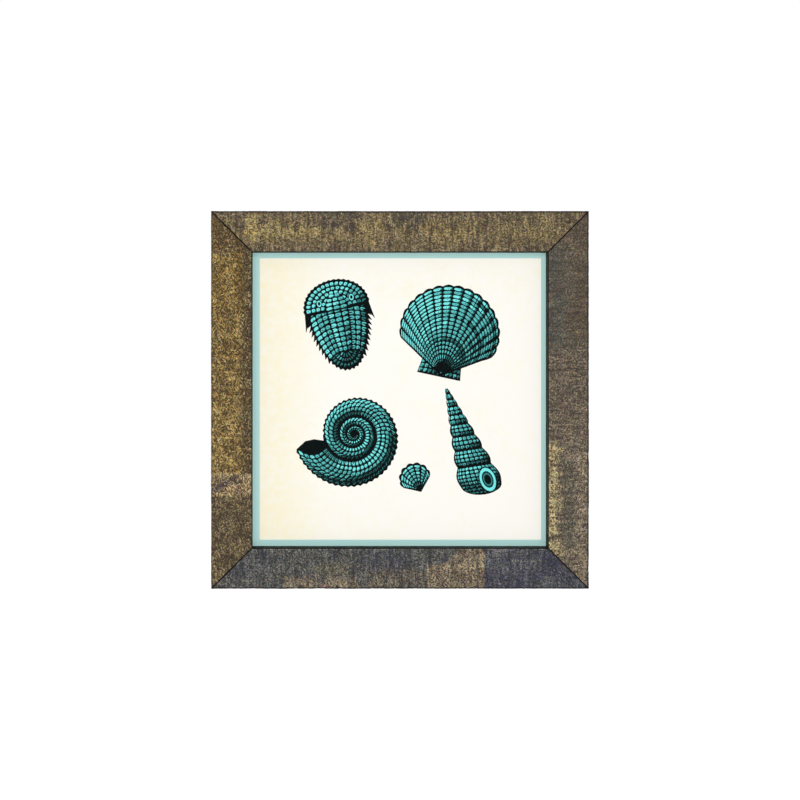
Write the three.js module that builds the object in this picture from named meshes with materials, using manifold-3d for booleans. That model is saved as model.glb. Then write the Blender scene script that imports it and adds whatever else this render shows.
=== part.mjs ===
// A square framed print for a wall: four mitred rails of a flat wooden moulding hold a clear
// pane, the printed sheet and a hardboard back, and a sawtooth hanger carries it all on a nail.
//
// Axes: +X is right, +Z is up, and the front faces -Y. The origin is where the wall's nail
// bears in the middle notch of the hanger. Everything is built about the frame's own centre,
// with the rails' back face at y = 0, and the whole group is then moved to that origin.

import * as THREE from 'three';
import { mergeVertices } from 'three/addons/utils/BufferGeometryUtils.js';
import Module from 'manifold-3d';

const wasm = await Module();
wasm.setup();

// ---- Driving dimensions, in millimetres ----

const FRAME_SIDE = 381;        // 15 in, outside to outside
const RAIL_WIDTH = 41.2;       // face of the moulding, 1-5/8 in
const RAIL_DEPTH = 22;
const EASED_EDGE = 1.2;        // radius on the face's two long edges
const RABBET_WIDTH = 4.75;
const LIP_DEPTH = 10;          // wood left in front of the rabbet
const MITRE_GAP = 0.3;
const SHEET_SIDE = 304.8;      // 12 in, the size of pane, print and back

const CLEARANCE = 0.3;         // around anything let into the wood
const SEAT_GAP = 0.1;          // between flat faces that lie on each other

const PANE_THICKNESS = 2;
const PRINT_THICKNESS = 0.4;
const BACKING_THICKNESS = 3;

const POINT_WIDTH = 15;        // flexible point: a flat steel tab
const POINT_TAPER = 5;         // how much narrower its driven end is
const POINT_THICKNESS = 0.6;
const POINT_DRIVEN = 6;        // length inside the wood
const POINT_SHOWING = 9.5;     // length over the back
const POINT_SPREAD = 84;       // from the middle of a rail

const V_LEG = 5.5;             // V-nail: length of each leg along the back
const V_THICKNESS = 0.6;
const V_HEIGHT = 9;
const V_PROUD = 0.1;           // of the rails' back face
const V_STATIONS = [12, 27];   // in from the outer corner, along X and along Z alike

const HANGER_LENGTH = 44;
const HANGER_HEIGHT = 8.5;
const HANGER_THICKNESS = 0.8;
const HANGER_END = 8.5;        // flat end that is nailed down
const HANGER_JOGGLE = 2.5;     // length of the bend up to the raised middle
const HANGER_RAISE = 1.5;
const HANGER_DROP = 18;        // its centre line, below the frame's top edge
const TOOTH_PITCH = 2.6;
const TOOTH_DEPTH = 1.6;
const NOTCHES = 7;

const NAIL_SHANK_R = 0.7;
const NAIL_LENGTH = 10;
const NAIL_POINT = 2;
const NAIL_HEAD_R = 1.9;
const NAIL_HEAD_HEIGHT = 0.9;

const BUMPER_R = 4.8;
const BUMPER_FLAT_R = 2.4;     // flat of the dome, which meets the wall
const BUMPER_HEIGHT = 3.2;
const BUMPER_RIM = 0.9;
const BUMPER_IN = 30;          // from the frame's side edge
const BUMPER_UP = 12;          // from the frame's bottom edge

// ---- Sizes that follow ----

const HALF_SIDE = FRAME_SIDE / 2;
const RABBET_WALL = RAIL_WIDTH - RABBET_WIDTH;
const LIP_BACK_Y = LIP_DEPTH - RAIL_DEPTH;
const PANE_Y = LIP_BACK_Y + SEAT_GAP;
const PRINT_Y = PANE_Y + PANE_THICKNESS + SEAT_GAP;
const BACKING_Y = PRINT_Y + PRINT_THICKNESS + SEAT_GAP;
const POINT_Y = BACKING_Y + BACKING_THICKNESS + CLEARANCE;
const V_BOTTOM_Y = V_PROUD - V_HEIGHT;
const HANGER_Z = HALF_SIDE - HANGER_DROP;
const NOTCH_Y = SEAT_GAP + HANGER_RAISE + HANGER_THICKNESS / 2;
const NOTCH_Z = HANGER_Z - HANGER_HEIGHT / 2 + TOOTH_DEPTH;
const NAIL_X = HANGER_LENGTH / 2 - HANGER_END / 2;
const NAIL_HOLE_R = NAIL_SHANK_R + CLEARANCE;
const NAIL_SEAT_Y = SEAT_GAP + HANGER_THICKNESS + SEAT_GAP;

const EDGE_SEGMENTS = 4;
const ROUND_SEGMENTS = 16;
const HOLE_SEGMENTS = 10;

// ---- Finishes ----

const finish = (color, roughness, metalness = 0) => ({ color, roughness, metalness });

const FINISHES = {
  bronzedWood: finish(0x6f6347, 0.55),
  clearPane: { ...finish(0xf4f8f8, 0.05), transparent: true, opacity: 0.15 },
  paper: finish(0xf9f5e6, 0.85),
  hardboard: finish(0x6b4a30, 0.8),
  springSteel: finish(0x8d9094, 0.4, 0.9),
  brassedSteel: finish(0xb59a5b, 0.35, 0.9),
  blackRubber: finish(0x1c1c1d, 0.8),
};

// ---- Solids ----

// A closed three.js geometry as a manifold solid.
function toSolid(geometry) {
  const bare = geometry.index ? geometry.toNonIndexed() : geometry.clone();
  bare.deleteAttribute('normal');
  bare.deleteAttribute('uv');
  const merged = mergeVertices(bare, 1e-4);
  const vertProperties = new Float32Array(merged.attributes.position.array);
  const triVerts = new Uint32Array(merged.index.array);
  return new wasm.Manifold(new wasm.Mesh({ numProp: 3, vertProperties, triVerts }));
}

// A manifold solid as a three.js geometry.
function toGeometry(solid) {
  const { vertProperties, triVerts } = solid.getMesh();
  const geometry = new THREE.BufferGeometry();
  geometry.setAttribute('position', new THREE.BufferAttribute(vertProperties, 3));
  geometry.setIndex(new THREE.BufferAttribute(triVerts, 1));
  geometry.computeVertexNormals();
  return geometry;
}

// A geometry with every cutter taken away from it.
function cut(geometry, cutters) {
  const left = cutters.reduce((solid, tool) => solid.subtract(toSolid(tool)), toSolid(geometry));
  return toGeometry(left);
}

// A box between two corners.
function boxBetween([x0, y0, z0], [x1, y1, z1]) {
  const box = new THREE.BoxGeometry(x1 - x0, y1 - y0, z1 - z0);
  return box.translate((x0 + x1) / 2, (y0 + y1) / 2, (z0 + z1) / 2);
}

// An outline of [x, z] points raised along +Y from y = 0.
function plateAlongY(outline, thickness) {
  const shape = new THREE.Shape(outline.map(([x, z]) => new THREE.Vector2(x, -z)));
  const plate = new THREE.ExtrudeGeometry(shape, { depth: thickness, bevelEnabled: false });
  return plate.rotateX(-Math.PI / 2);
}

// A round solid about the Y axis, from [radius, y] points that start and end on the axis.
function turnedAboutY(profile, segments) {
  return new THREE.LatheGeometry(profile.map(([r, y]) => new THREE.Vector2(r, y)), segments);
}

function piece(name, geometry, finishName) {
  const mesh = new THREE.Mesh(geometry, new THREE.MeshStandardMaterial(FINISHES[finishName]));
  mesh.name = name;
  return mesh;
}

// ---- Rails ----

// Section of the moulding: x runs from the outer edge to the lip, y from the face to the back.
function mouldingSection() {
  const section = new THREE.Shape();
  section.moveTo(0, RAIL_DEPTH);
  section.lineTo(0, EASED_EDGE);
  section.absarc(EASED_EDGE, EASED_EDGE, EASED_EDGE, Math.PI, Math.PI * 1.5);
  section.absarc(RAIL_WIDTH - EASED_EDGE, EASED_EDGE, EASED_EDGE, Math.PI * 1.5, Math.PI * 2);
  section.lineTo(RAIL_WIDTH, LIP_DEPTH);
  section.lineTo(RABBET_WALL, LIP_DEPTH);
  section.lineTo(RABBET_WALL, RAIL_DEPTH);
  section.closePath();
  return section;
}

// One plain rail lying along X at the bottom of the frame, its ends mitred at 45 degrees.
function mitredRail() {
  const rail = new THREE.ExtrudeGeometry(mouldingSection(), {
    depth: 2,
    bevelEnabled: false,
    curveSegments: EDGE_SEGMENTS,
  });
  const half = MITRE_GAP / Math.SQRT2;
  const position = rail.attributes.position;
  for (let i = 0; i < position.count; i += 1) {
    const across = position.getX(i);
    const deep = position.getY(i);
    const end = 1 - position.getZ(i);
    position.setXYZ(i, end * (HALF_SIDE - across - half), deep - RAIL_DEPTH, across - HALF_SIDE);
  }
  return rail;
}

// Slot in the rabbet's wall for one flexible point.
function pointSlot(x) {
  const wallZ = RABBET_WALL - HALF_SIDE;
  return boxBetween(
    [x - POINT_WIDTH / 2 - CLEARANCE, POINT_Y - CLEARANCE, wallZ - POINT_DRIVEN - CLEARANCE],
    [x + POINT_WIDTH / 2 + CLEARANCE, POINT_Y + POINT_THICKNESS + CLEARANCE, wallZ + 1],
  );
}

// Pilot hole for a hanger nail, in the top rail.
function nailHole(x) {
  const depth = NAIL_LENGTH + CLEARANCE;
  const hole = new THREE.CylinderGeometry(NAIL_HOLE_R, NAIL_HOLE_R, depth, HOLE_SEGMENTS);
  return hole.translate(x, NAIL_SEAT_Y - depth / 2, 0);
}

// ---- V-nails ----

// A V-nail standing along Y, its point at the origin and its legs along -X and +Z, grown by a
// margin on every side.
function vNail(margin = 0) {
  const low = -V_THICKNESS / 2 - margin;
  const high = V_THICKNESS / 2 + margin;
  const tip = V_LEG + margin;
  const outline = [[high, low], [high, tip], [low, tip], [low, high], [-tip, high], [-tip, low]];
  return plateAlongY(outline, V_HEIGHT + 2 * margin).translate(0, V_BOTTOM_Y - margin, 0);
}

// Pockets for the V-nails at both ends of the bottom rail.
function vPockets() {
  return [-1, 1].flatMap((side) => V_STATIONS.map((station) => {
    const pocket = vNail(CLEARANCE);
    if (side < 0) pocket.rotateY(Math.PI / 2);
    return pocket.translate(side * (HALF_SIDE - station), 0, station - HALF_SIDE);
  }));
}

// ---- Small steel ----

// A flexible point, its driven end tapered, with the rabbet's wall at z = 0.
function flexiblePoint() {
  const half = POINT_WIDTH / 2;
  const driven = half - POINT_TAPER / 2;
  return plateAlongY([
    [-driven, -POINT_DRIVEN],
    [driven, -POINT_DRIVEN],
    [half, 0],
    [driven, POINT_SHOWING],
    [-driven, POINT_SHOWING],
    [-half, 0],
  ], POINT_THICKNESS);
}

// The hanger: a strip with its middle raised off the wood and notches along its lower edge.
function sawtoothHanger() {
  const half = HANGER_LENGTH / 2;
  const bendOut = half - HANGER_END;
  const bendIn = bendOut - HANGER_JOGGLE;
  const t = HANGER_THICKNESS;
  const under = [[half, 0], [bendOut, 0], [bendIn, HANGER_RAISE]];
  const over = [[bendIn, HANGER_RAISE + t], [bendOut, t], [half, t]];
  const mirrored = (points) => points.map(([x, y]) => [-x, y]).reverse();
  const outline = [...under, ...mirrored(under), ...mirrored(over), ...over];
  const shape = new THREE.Shape(outline.map(([x, y]) => new THREE.Vector2(x, y)));
  const strip = new THREE.ExtrudeGeometry(shape, { depth: HANGER_HEIGHT, bevelEnabled: false });
  strip.translate(0, 0, -HANGER_HEIGHT / 2);

  const cutDepth = HANGER_RAISE + 3 * t;
  const low = -HANGER_HEIGHT / 2;
  const notches = Array.from({ length: NOTCHES }, (_, i) => {
    const x = (i - (NOTCHES - 1) / 2) * TOOTH_PITCH;
    const halfPitch = TOOTH_PITCH / 2;
    const outlineBelow = [
      [x - halfPitch * 1.5, low - TOOTH_DEPTH / 2],
      [x + halfPitch * 1.5, low - TOOTH_DEPTH / 2],
      [x, low + TOOTH_DEPTH],
    ];
    return plateAlongY(outlineBelow, cutDepth).translate(0, -t / 2, 0);
  });
  const holes = [-NAIL_X, NAIL_X].map((x) => (
    new THREE.CylinderGeometry(NAIL_HOLE_R, NAIL_HOLE_R, cutDepth, HOLE_SEGMENTS)
      .translate(x, cutDepth / 2 - t / 2, 0)
  ));
  return cut(strip, [...notches, ...holes]);
}

// A round-headed nail pointing along -Y, with the underside of its head at y = 0.
function hangerNail() {
  return turnedAboutY([
    [0, -NAIL_LENGTH],
    [NAIL_SHANK_R, NAIL_POINT - NAIL_LENGTH],
    [NAIL_SHANK_R, 0],
    [NAIL_HEAD_R, 0],
    [NAIL_HEAD_R, NAIL_HEAD_HEIGHT * 0.3],
    [NAIL_HEAD_R * 0.72, NAIL_HEAD_HEIGHT * 0.8],
    [0, NAIL_HEAD_HEIGHT],
  ], ROUND_SEGMENTS);
}

// A rubber dome with a rim where it is stuck on and a flat where it meets the wall.
function wallBumper() {
  return turnedAboutY([
    [0, 0],
    [BUMPER_R, 0],
    [BUMPER_R, BUMPER_RIM],
    [(BUMPER_R + BUMPER_FLAT_R) * 0.56, BUMPER_HEIGHT * 0.78],
    [BUMPER_FLAT_R, BUMPER_HEIGHT],
    [0, BUMPER_HEIGHT],
  ], ROUND_SEGMENTS);
}

// ---- Assembly ----

const RAILS = [
  { name: 'bottom', turn: 0 },
  { name: 'right', turn: -Math.PI / 2 },
  { name: 'top', turn: Math.PI, hangs: true },
  { name: 'left', turn: Math.PI / 2 },
];

const CORNERS = [
  { name: 'top_left', x: -1, z: 1, turn: Math.PI },
  { name: 'top_right', x: 1, z: 1, turn: -Math.PI / 2 },
  { name: 'bottom_left', x: -1, z: -1, turn: Math.PI / 2 },
  { name: 'bottom_right', x: 1, z: -1, turn: 0 },
];

const group = new THREE.Group();
group.position.set(0, -NOTCH_Y, -NOTCH_Z);

for (const { name, turn, hangs } of RAILS) {
  const rail = new THREE.Group();
  rail.rotation.y = turn;
  const nailHoles = hangs
    ? [-NAIL_X, NAIL_X].map((x) => nailHole(x).translate(0, 0, HANGER_DROP - HALF_SIDE))
    : [];
  const cutters = [
    pointSlot(-POINT_SPREAD),
    pointSlot(POINT_SPREAD),
    ...vPockets(),
    ...nailHoles,
  ];
  rail.add(piece(`rail_${name}`, cut(mitredRail(), cutters), 'bronzedWood'));
  for (const [i, x] of [-POINT_SPREAD, POINT_SPREAD].entries()) {
    const point = piece(`point_${name}_${i + 1}`, flexiblePoint(), 'springSteel');
    point.position.set(x, POINT_Y, RABBET_WALL - HALF_SIDE);
    rail.add(point);
  }
  group.add(rail);
}

for (const corner of CORNERS) {
  for (const [i, station] of V_STATIONS.entries()) {
    const nail = piece(`v_nail_${corner.name}_${i + 1}`, vNail(), 'springSteel');
    nail.rotation.y = corner.turn;
    const reach = HALF_SIDE - station;
    nail.position.set(corner.x * reach, 0, corner.z * reach);
    group.add(nail);
  }
}

const SHEETS = [
  { name: 'glazing', y: PANE_Y, thickness: PANE_THICKNESS, finishName: 'clearPane' },
  { name: 'art_print', y: PRINT_Y, thickness: PRINT_THICKNESS, finishName: 'paper' },
  { name: 'backing_board', y: BACKING_Y, thickness: BACKING_THICKNESS, finishName: 'hardboard' },
];

for (const { name, y, thickness, finishName } of SHEETS) {
  const sheet = piece(name, new THREE.BoxGeometry(SHEET_SIDE, thickness, SHEET_SIDE), finishName);
  sheet.position.y = y + thickness / 2;
  group.add(sheet);
}

const hanger = piece('sawtooth_hanger', sawtoothHanger(), 'brassedSteel');
hanger.position.set(0, SEAT_GAP, HANGER_Z);
group.add(hanger);

for (const [side, x] of [['left', -NAIL_X], ['right', NAIL_X]]) {
  const nail = piece(`hanger_nail_${side}`, hangerNail(), 'brassedSteel');
  nail.position.set(x, NAIL_SEAT_Y, HANGER_Z);
  group.add(nail);
}

for (const [side, x] of [['left', BUMPER_IN - HALF_SIDE], ['right', HALF_SIDE - BUMPER_IN]]) {
  const bumper = piece(`bumper_${side}`, wallBumper(), 'blackRubber');
  bumper.position.set(x, SEAT_GAP, BUMPER_UP - HALF_SIDE);
  group.add(bumper);
}

export default group;
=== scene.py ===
"""A square framed print for a wall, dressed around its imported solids.

Four mitred rails of a flat wooden moulding, rubbed with bronze over umber stain, hold clear
picture glass, a printed plate of fossils and a hardboard back, and a sawtooth hanger carries
it. Everything is in metres, in the frame's own space: +X right, +Z up, +Y into the wall.
"""

import logging
import math
import random
from collections.abc import Callable, Iterable, Sequence
from dataclasses import dataclass, field
from enum import Enum
from functools import cached_property, partial
from itertools import pairwise
from typing import TypeVar

import bpy
import numpy as np
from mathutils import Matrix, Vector
from mathutils.geometry import delaunay_2d_cdt


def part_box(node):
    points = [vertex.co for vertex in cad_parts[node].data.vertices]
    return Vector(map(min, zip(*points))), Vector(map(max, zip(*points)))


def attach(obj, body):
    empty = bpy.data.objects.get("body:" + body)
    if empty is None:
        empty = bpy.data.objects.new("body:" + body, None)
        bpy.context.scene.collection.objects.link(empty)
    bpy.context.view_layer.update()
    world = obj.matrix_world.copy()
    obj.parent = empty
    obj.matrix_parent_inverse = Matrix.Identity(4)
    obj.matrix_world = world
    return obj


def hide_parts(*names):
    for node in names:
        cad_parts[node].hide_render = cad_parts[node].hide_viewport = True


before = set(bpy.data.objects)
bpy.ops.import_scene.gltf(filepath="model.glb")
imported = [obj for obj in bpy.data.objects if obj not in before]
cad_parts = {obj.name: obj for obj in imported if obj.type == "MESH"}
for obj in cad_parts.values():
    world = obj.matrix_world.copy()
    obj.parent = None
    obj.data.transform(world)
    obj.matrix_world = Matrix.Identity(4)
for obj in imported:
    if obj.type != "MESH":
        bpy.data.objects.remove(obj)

LOG = logging.getLogger("framed_print")
MM = 0.001
QUARTER = math.pi / 2
CORNERS = ((-1, -1), (1, -1), (1, 1), (-1, 1))
WELD_MM = 0.005
EASED_DEGREES = 35

Colour = tuple[float, float, float, float]
Point2 = tuple[float, float]
Place2 = Callable[[float, float], Point2]
Outline = Sequence[Point2]
Material = bpy.types.Material
Piece = bpy.types.Object
Item = TypeVar("Item")


def srgb(red: float, green: float, blue: float) -> Colour:
    """Give the linear colour of three display values from 0 to 255."""
    shares = (value / 255 for value in (red, green, blue))
    return (*(s / 12.92 if s <= 0.04045 else ((s + 0.055) / 1.055) ** 2.4 for s in shares), 1.0)


def polar(radius: float, angle: float) -> Point2:
    """Give the point at a distance from zero and an angle in radians."""
    return (radius * math.cos(angle), radius * math.sin(angle))


# --- Shader maths ---


def operator(
    operation: str, reflected: bool = False
) -> "Callable[[Channel, Channel | float], Channel]":
    """Make a method of Channel that adds a Math node.

    Args:
        operation: The Math node's operation.
        reflected: Whether the other value goes first.

    Returns:
        The method.
    """

    def apply(self: "Channel", other: "Channel | float") -> "Channel":
        """Add the node."""
        return self.math(operation, *((other, self) if reflected else (self, other)))

    return apply


class Channel:
    """A number that varies over a surface, on which Python's operators add Math nodes."""

    __add__, __radd__ = operator("ADD"), operator("ADD", True)
    __sub__, __rsub__ = operator("SUBTRACT"), operator("SUBTRACT", True)
    __mul__, __rmul__ = operator("MULTIPLY"), operator("MULTIPLY", True)
    __truediv__, __rtruediv__ = operator("DIVIDE"), operator("DIVIDE", True)
    at_least, at_most = operator("MAXIMUM"), operator("MINIMUM")

    def __init__(self, shader: "Shader", socket: bpy.types.NodeSocket) -> None:
        """Wrap a socket of a shader's tree."""
        self.shader = shader
        self.socket = socket

    def math(self, operation: str, *values: "Channel | float") -> "Channel":
        """Add a Math node.

        Args:
            operation: The Math node's operation.
            values: What goes into its sockets, in order.

        Returns:
            The node's result.
        """
        return self.shader.node("ShaderNodeMath", {"operation": operation}, dict(enumerate(values)))

    def __abs__(self) -> "Channel":
        """Take the absolute value."""
        return self.math("ABSOLUTE", self)

    def wave(self) -> "Channel":
        """Give the sine."""
        return self.math("SINE", self)

    def clamped(self) -> "Channel":
        """Keep it from 0 to 1."""
        return self.at_least(0.0).at_most(1.0)

    def rising(self, low: float, high: float) -> "Channel":
        """Give a smooth step.

        Args:
            low: Where the step starts from 0.
            high: Where it reaches 1. Below low, the step falls.

        Returns:
            The step, from 0 to 1.
        """
        values = {"Value": self, "From Min": low, "From Max": high}
        return self.shader.node("ShaderNodeMapRange", {"interpolation_type": "SMOOTHSTEP"}, values)


Spot = tuple[Channel, Channel, Channel]
Amount = Channel | float
Tint = Channel | Colour


def turned(x: Amount, y: Amount, degrees: float) -> tuple[Amount, Amount]:
    """Turn a point clockwise about zero.

    Args:
        x: Its first coordinate.
        y: Its second coordinate.
        degrees: How far.

    Returns:
        The turned point.
    """
    cos, sin = polar(1.0, math.radians(degrees))
    return (x * cos + y * sin, y * cos - x * sin)


class Blend(Enum):
    """How two colours mix, by the Mix node's name for it."""

    MIX = "MIX"
    MULTIPLY = "MULTIPLY"


class Holder(Enum):
    """What a node tree belongs to, as (the list of Blender's data, the output node)."""

    MATERIAL = ("materials", "ShaderNodeOutputMaterial")
    WORLD = ("worlds", "ShaderNodeOutputWorld")


class Shader:
    """A node tree, with what every finish here needs."""

    def __init__(self, name: str, holder: Holder = Holder.MATERIAL) -> None:
        """Start a material or a world of a name."""
        group, self.output = holder.value
        self.made = getattr(bpy.data, group).new(name)
        self.made.use_nodes = True
        self.tree = self.made.node_tree
        self.tree.nodes.clear()

    def node(
        self,
        kind: str,
        settings: dict[str, object] | None = None,
        values: dict[str | int, object] | None = None,
        result: str | int = 0,
    ) -> Channel | None:
        """Add a node.

        Args:
            kind: The node's type.
            settings: Its properties, set first.
            values: Numbers, colours or channels for its sockets.
            result: The output that is wanted.

        Returns:
            That output, or nothing for a node that has none.
        """
        added = self.tree.nodes.new(kind)
        for name, value in (settings or {}).items():
            setattr(added, name, value)
        for key, value in (values or {}).items():
            if isinstance(value, Channel):
                self.tree.links.new(value.socket, added.inputs[key])
            else:
                added.inputs[key].default_value = value
        return Channel(self, added.outputs[result]) if added.outputs else None

    def mix(self, first: Tint, second: Tint, share: Amount, blend: Blend = Blend.MIX) -> Channel:
        """Mix two colours.

        Args:
            first: The colour where share is 0.
            second: The colour where share is 1, or what the first is multiplied by there.
            share: How much of the second.
            blend: How they mix.

        Returns:
            The mixed colour.
        """
        settings = {"data_type": "RGBA", "blend_type": blend.value}
        return self.node("ShaderNodeMix", settings, {"Factor": share, 6: first, 7: second}, 2)

    @cached_property
    def spot(self) -> Spot:
        """The point on the surface that patterns follow, as x, y and z in millimetres."""
        return self.place()

    def place(self) -> Spot:
        """Give the point on the surface, as x, y and z in millimetres."""
        where = self.node("ShaderNodeTexCoord", result="Object")
        scaled = self.node("ShaderNodeVectorMath", {"operation": "SCALE"}, {0: where, 3: 1 / MM})
        return tuple(
            self.node("ShaderNodeSeparateXYZ", values={0: scaled}, result=axis) for axis in "XYZ"
        )

    def join(self, x: Amount, y: Amount, z: Amount) -> Channel:
        """Join three numbers in a vector."""
        return self.node("ShaderNodeCombineXYZ", values={0: x, 1: y, 2: z})

    def noise(
        self,
        size: float | tuple[float, float, float],
        detail: float = 2.0,
        rough: float = 0.5,
        swirl: float = 0.0,
        shift: float = 0.0,
        at: Sequence[Amount] | None = None,
    ) -> Channel:
        """Add noise.

        Args:
            size: How long the noise's features are, all ways or each way, in millimetres.
            detail: Octaves of finer noise.
            rough: How strong the finer octaves are.
            swirl: How far the noise is drawn out into worms.
            shift: What sets this noise apart from others of its size.
            at: Another point than the tree's spot, in millimetres.

        Returns:
            The noise, about 0.5 on average.
        """
        sizes = size if isinstance(size, tuple) else (size, size, size)
        x, y, z = (way / length for way, length in zip(at or self.spot, sizes))
        values = {
            "Vector": self.join(x + shift if shift else x, y, z),
            "Scale": 1.0,
            "Detail": detail,
            "Roughness": rough,
            "Distortion": swirl,
        }
        return self.node("ShaderNodeTexNoise", {"noise_dimensions": "3D"}, values)

    def bump(self, height: Channel, depth_mm: float, normal: Channel | None = None) -> Channel:
        """Raise fine relief.

        Args:
            height: The relief, from 0 to 1.
            depth_mm: What 1 stands for.
            normal: A bumped normal that this one adds to.

        Returns:
            The bumped normal.
        """
        values = {"Strength": 1.0, "Distance": depth_mm * MM, "Height": height}
        if normal is not None:
            values["Normal"] = normal
        return self.node("ShaderNodeBump", values=values)

    def surface(
        self, colour: Tint, rough: Amount, normal: Channel, more: dict[str, object] | None = None
    ) -> Material:
        """End the tree in a Principled surface.

        Args:
            colour: Its colour.
            rough: Its roughness.
            normal: Its bumped normal.
            more: Values for other sockets.

        Returns:
            The finished material.
        """
        values = {"Base Color": colour, "Roughness": rough, "Normal": normal, **(more or {})}
        return self.close(self.node("ShaderNodeBsdfPrincipled", values=values))

    def blended(self, share: Amount, first: Channel, second: Channel) -> bpy.types.ID:
        """End the tree in a mix of two shaders.

        Args:
            share: How much of the second.
            first: The shader where share is 0.
            second: The shader where share is 1.

        Returns:
            The finished material or world.
        """
        return self.close(self.node("ShaderNodeMixShader", values={0: share, 1: first, 2: second}))

    def close(self, shown: Channel) -> bpy.types.ID:
        """End the tree in a shader, and give the finished material or world."""
        self.node(self.output, values={"Surface": shown})
        return self.made


# --- Where the frame stands ---


class Side(Enum):
    """The four rails, by the way their outer edge faces, as (x, z)."""

    BOTTOM = (0, -1)
    RIGHT = (1, 0)
    TOP = (0, 1)
    LEFT = (-1, 0)

    @property
    def along(self) -> tuple[int, int]:
        """The way the rail runs, as (x, z)."""
        return (-self.value[1], self.value[0])

    @property
    def node(self) -> str:
        """The rail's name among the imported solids."""
        return f"rail_{self.name.lower()}"


@dataclass(frozen=True)
class FrameSpace:
    """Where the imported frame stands: middle_z in metres, and the rest in millimetres."""

    middle_z: float
    half: float
    front: float

    @classmethod
    def measured(cls) -> "FrameSpace":
        """Read the frame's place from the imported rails."""
        left_low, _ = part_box("rail_left")
        bottom_low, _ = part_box("rail_bottom")
        _, top_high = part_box("rail_top")
        return cls((bottom_low.z + top_high.z) / 2, -left_low.x / MM, left_low.y / MM)

    def print_spot(self, shader: Shader) -> Spot:
        """Give the point in millimetres, with x and z from the print's middle."""
        x, y, z = shader.place()
        return (x, y, z - self.middle_z / MM)


class RailShader(Shader):
    """The node tree of a finish on one rail."""

    def __init__(self, name: str, space: FrameSpace, side: Side) -> None:
        """Start a material whose name ends in the side's."""
        super().__init__(f"{name}_{side.name.lower()}")
        self.space, self.side = space, side

    @cached_property
    def spot(self) -> Spot:
        """The point, in millimetres along the rail, from its outer edge and behind its face."""
        x, y, up = self.space.print_spot(self)
        out_x, out_z = self.side.value
        outward = (up if out_z else x) * float(out_z or out_x)
        return (x if out_z else up, self.space.half - outward, y - self.space.front)


# --- Finishes ---


@dataclass(frozen=True)
class Patch:
    """A stretch of a rail where the rubbed finish came out differently.

    Lengths are in millimetres: along from the rail's middle, towards +X or +Z, and across from
    the outer edge. stain and gilding are the colours there, lift is added to the gilding left,
    soft is how far the patch's edges run out, slant how far along it moves per millimetre
    across, and spark how much of the pale specks, the painted glints and the painted lip
    highlight stays.
    """

    along: Point2
    across: Point2
    stain: Colour
    gilding: Colour
    lift: float = 0.0
    strength: float = 1.0
    soft: float = 6.0
    slant: float = 0.0
    spark: float = 1.0


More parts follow.
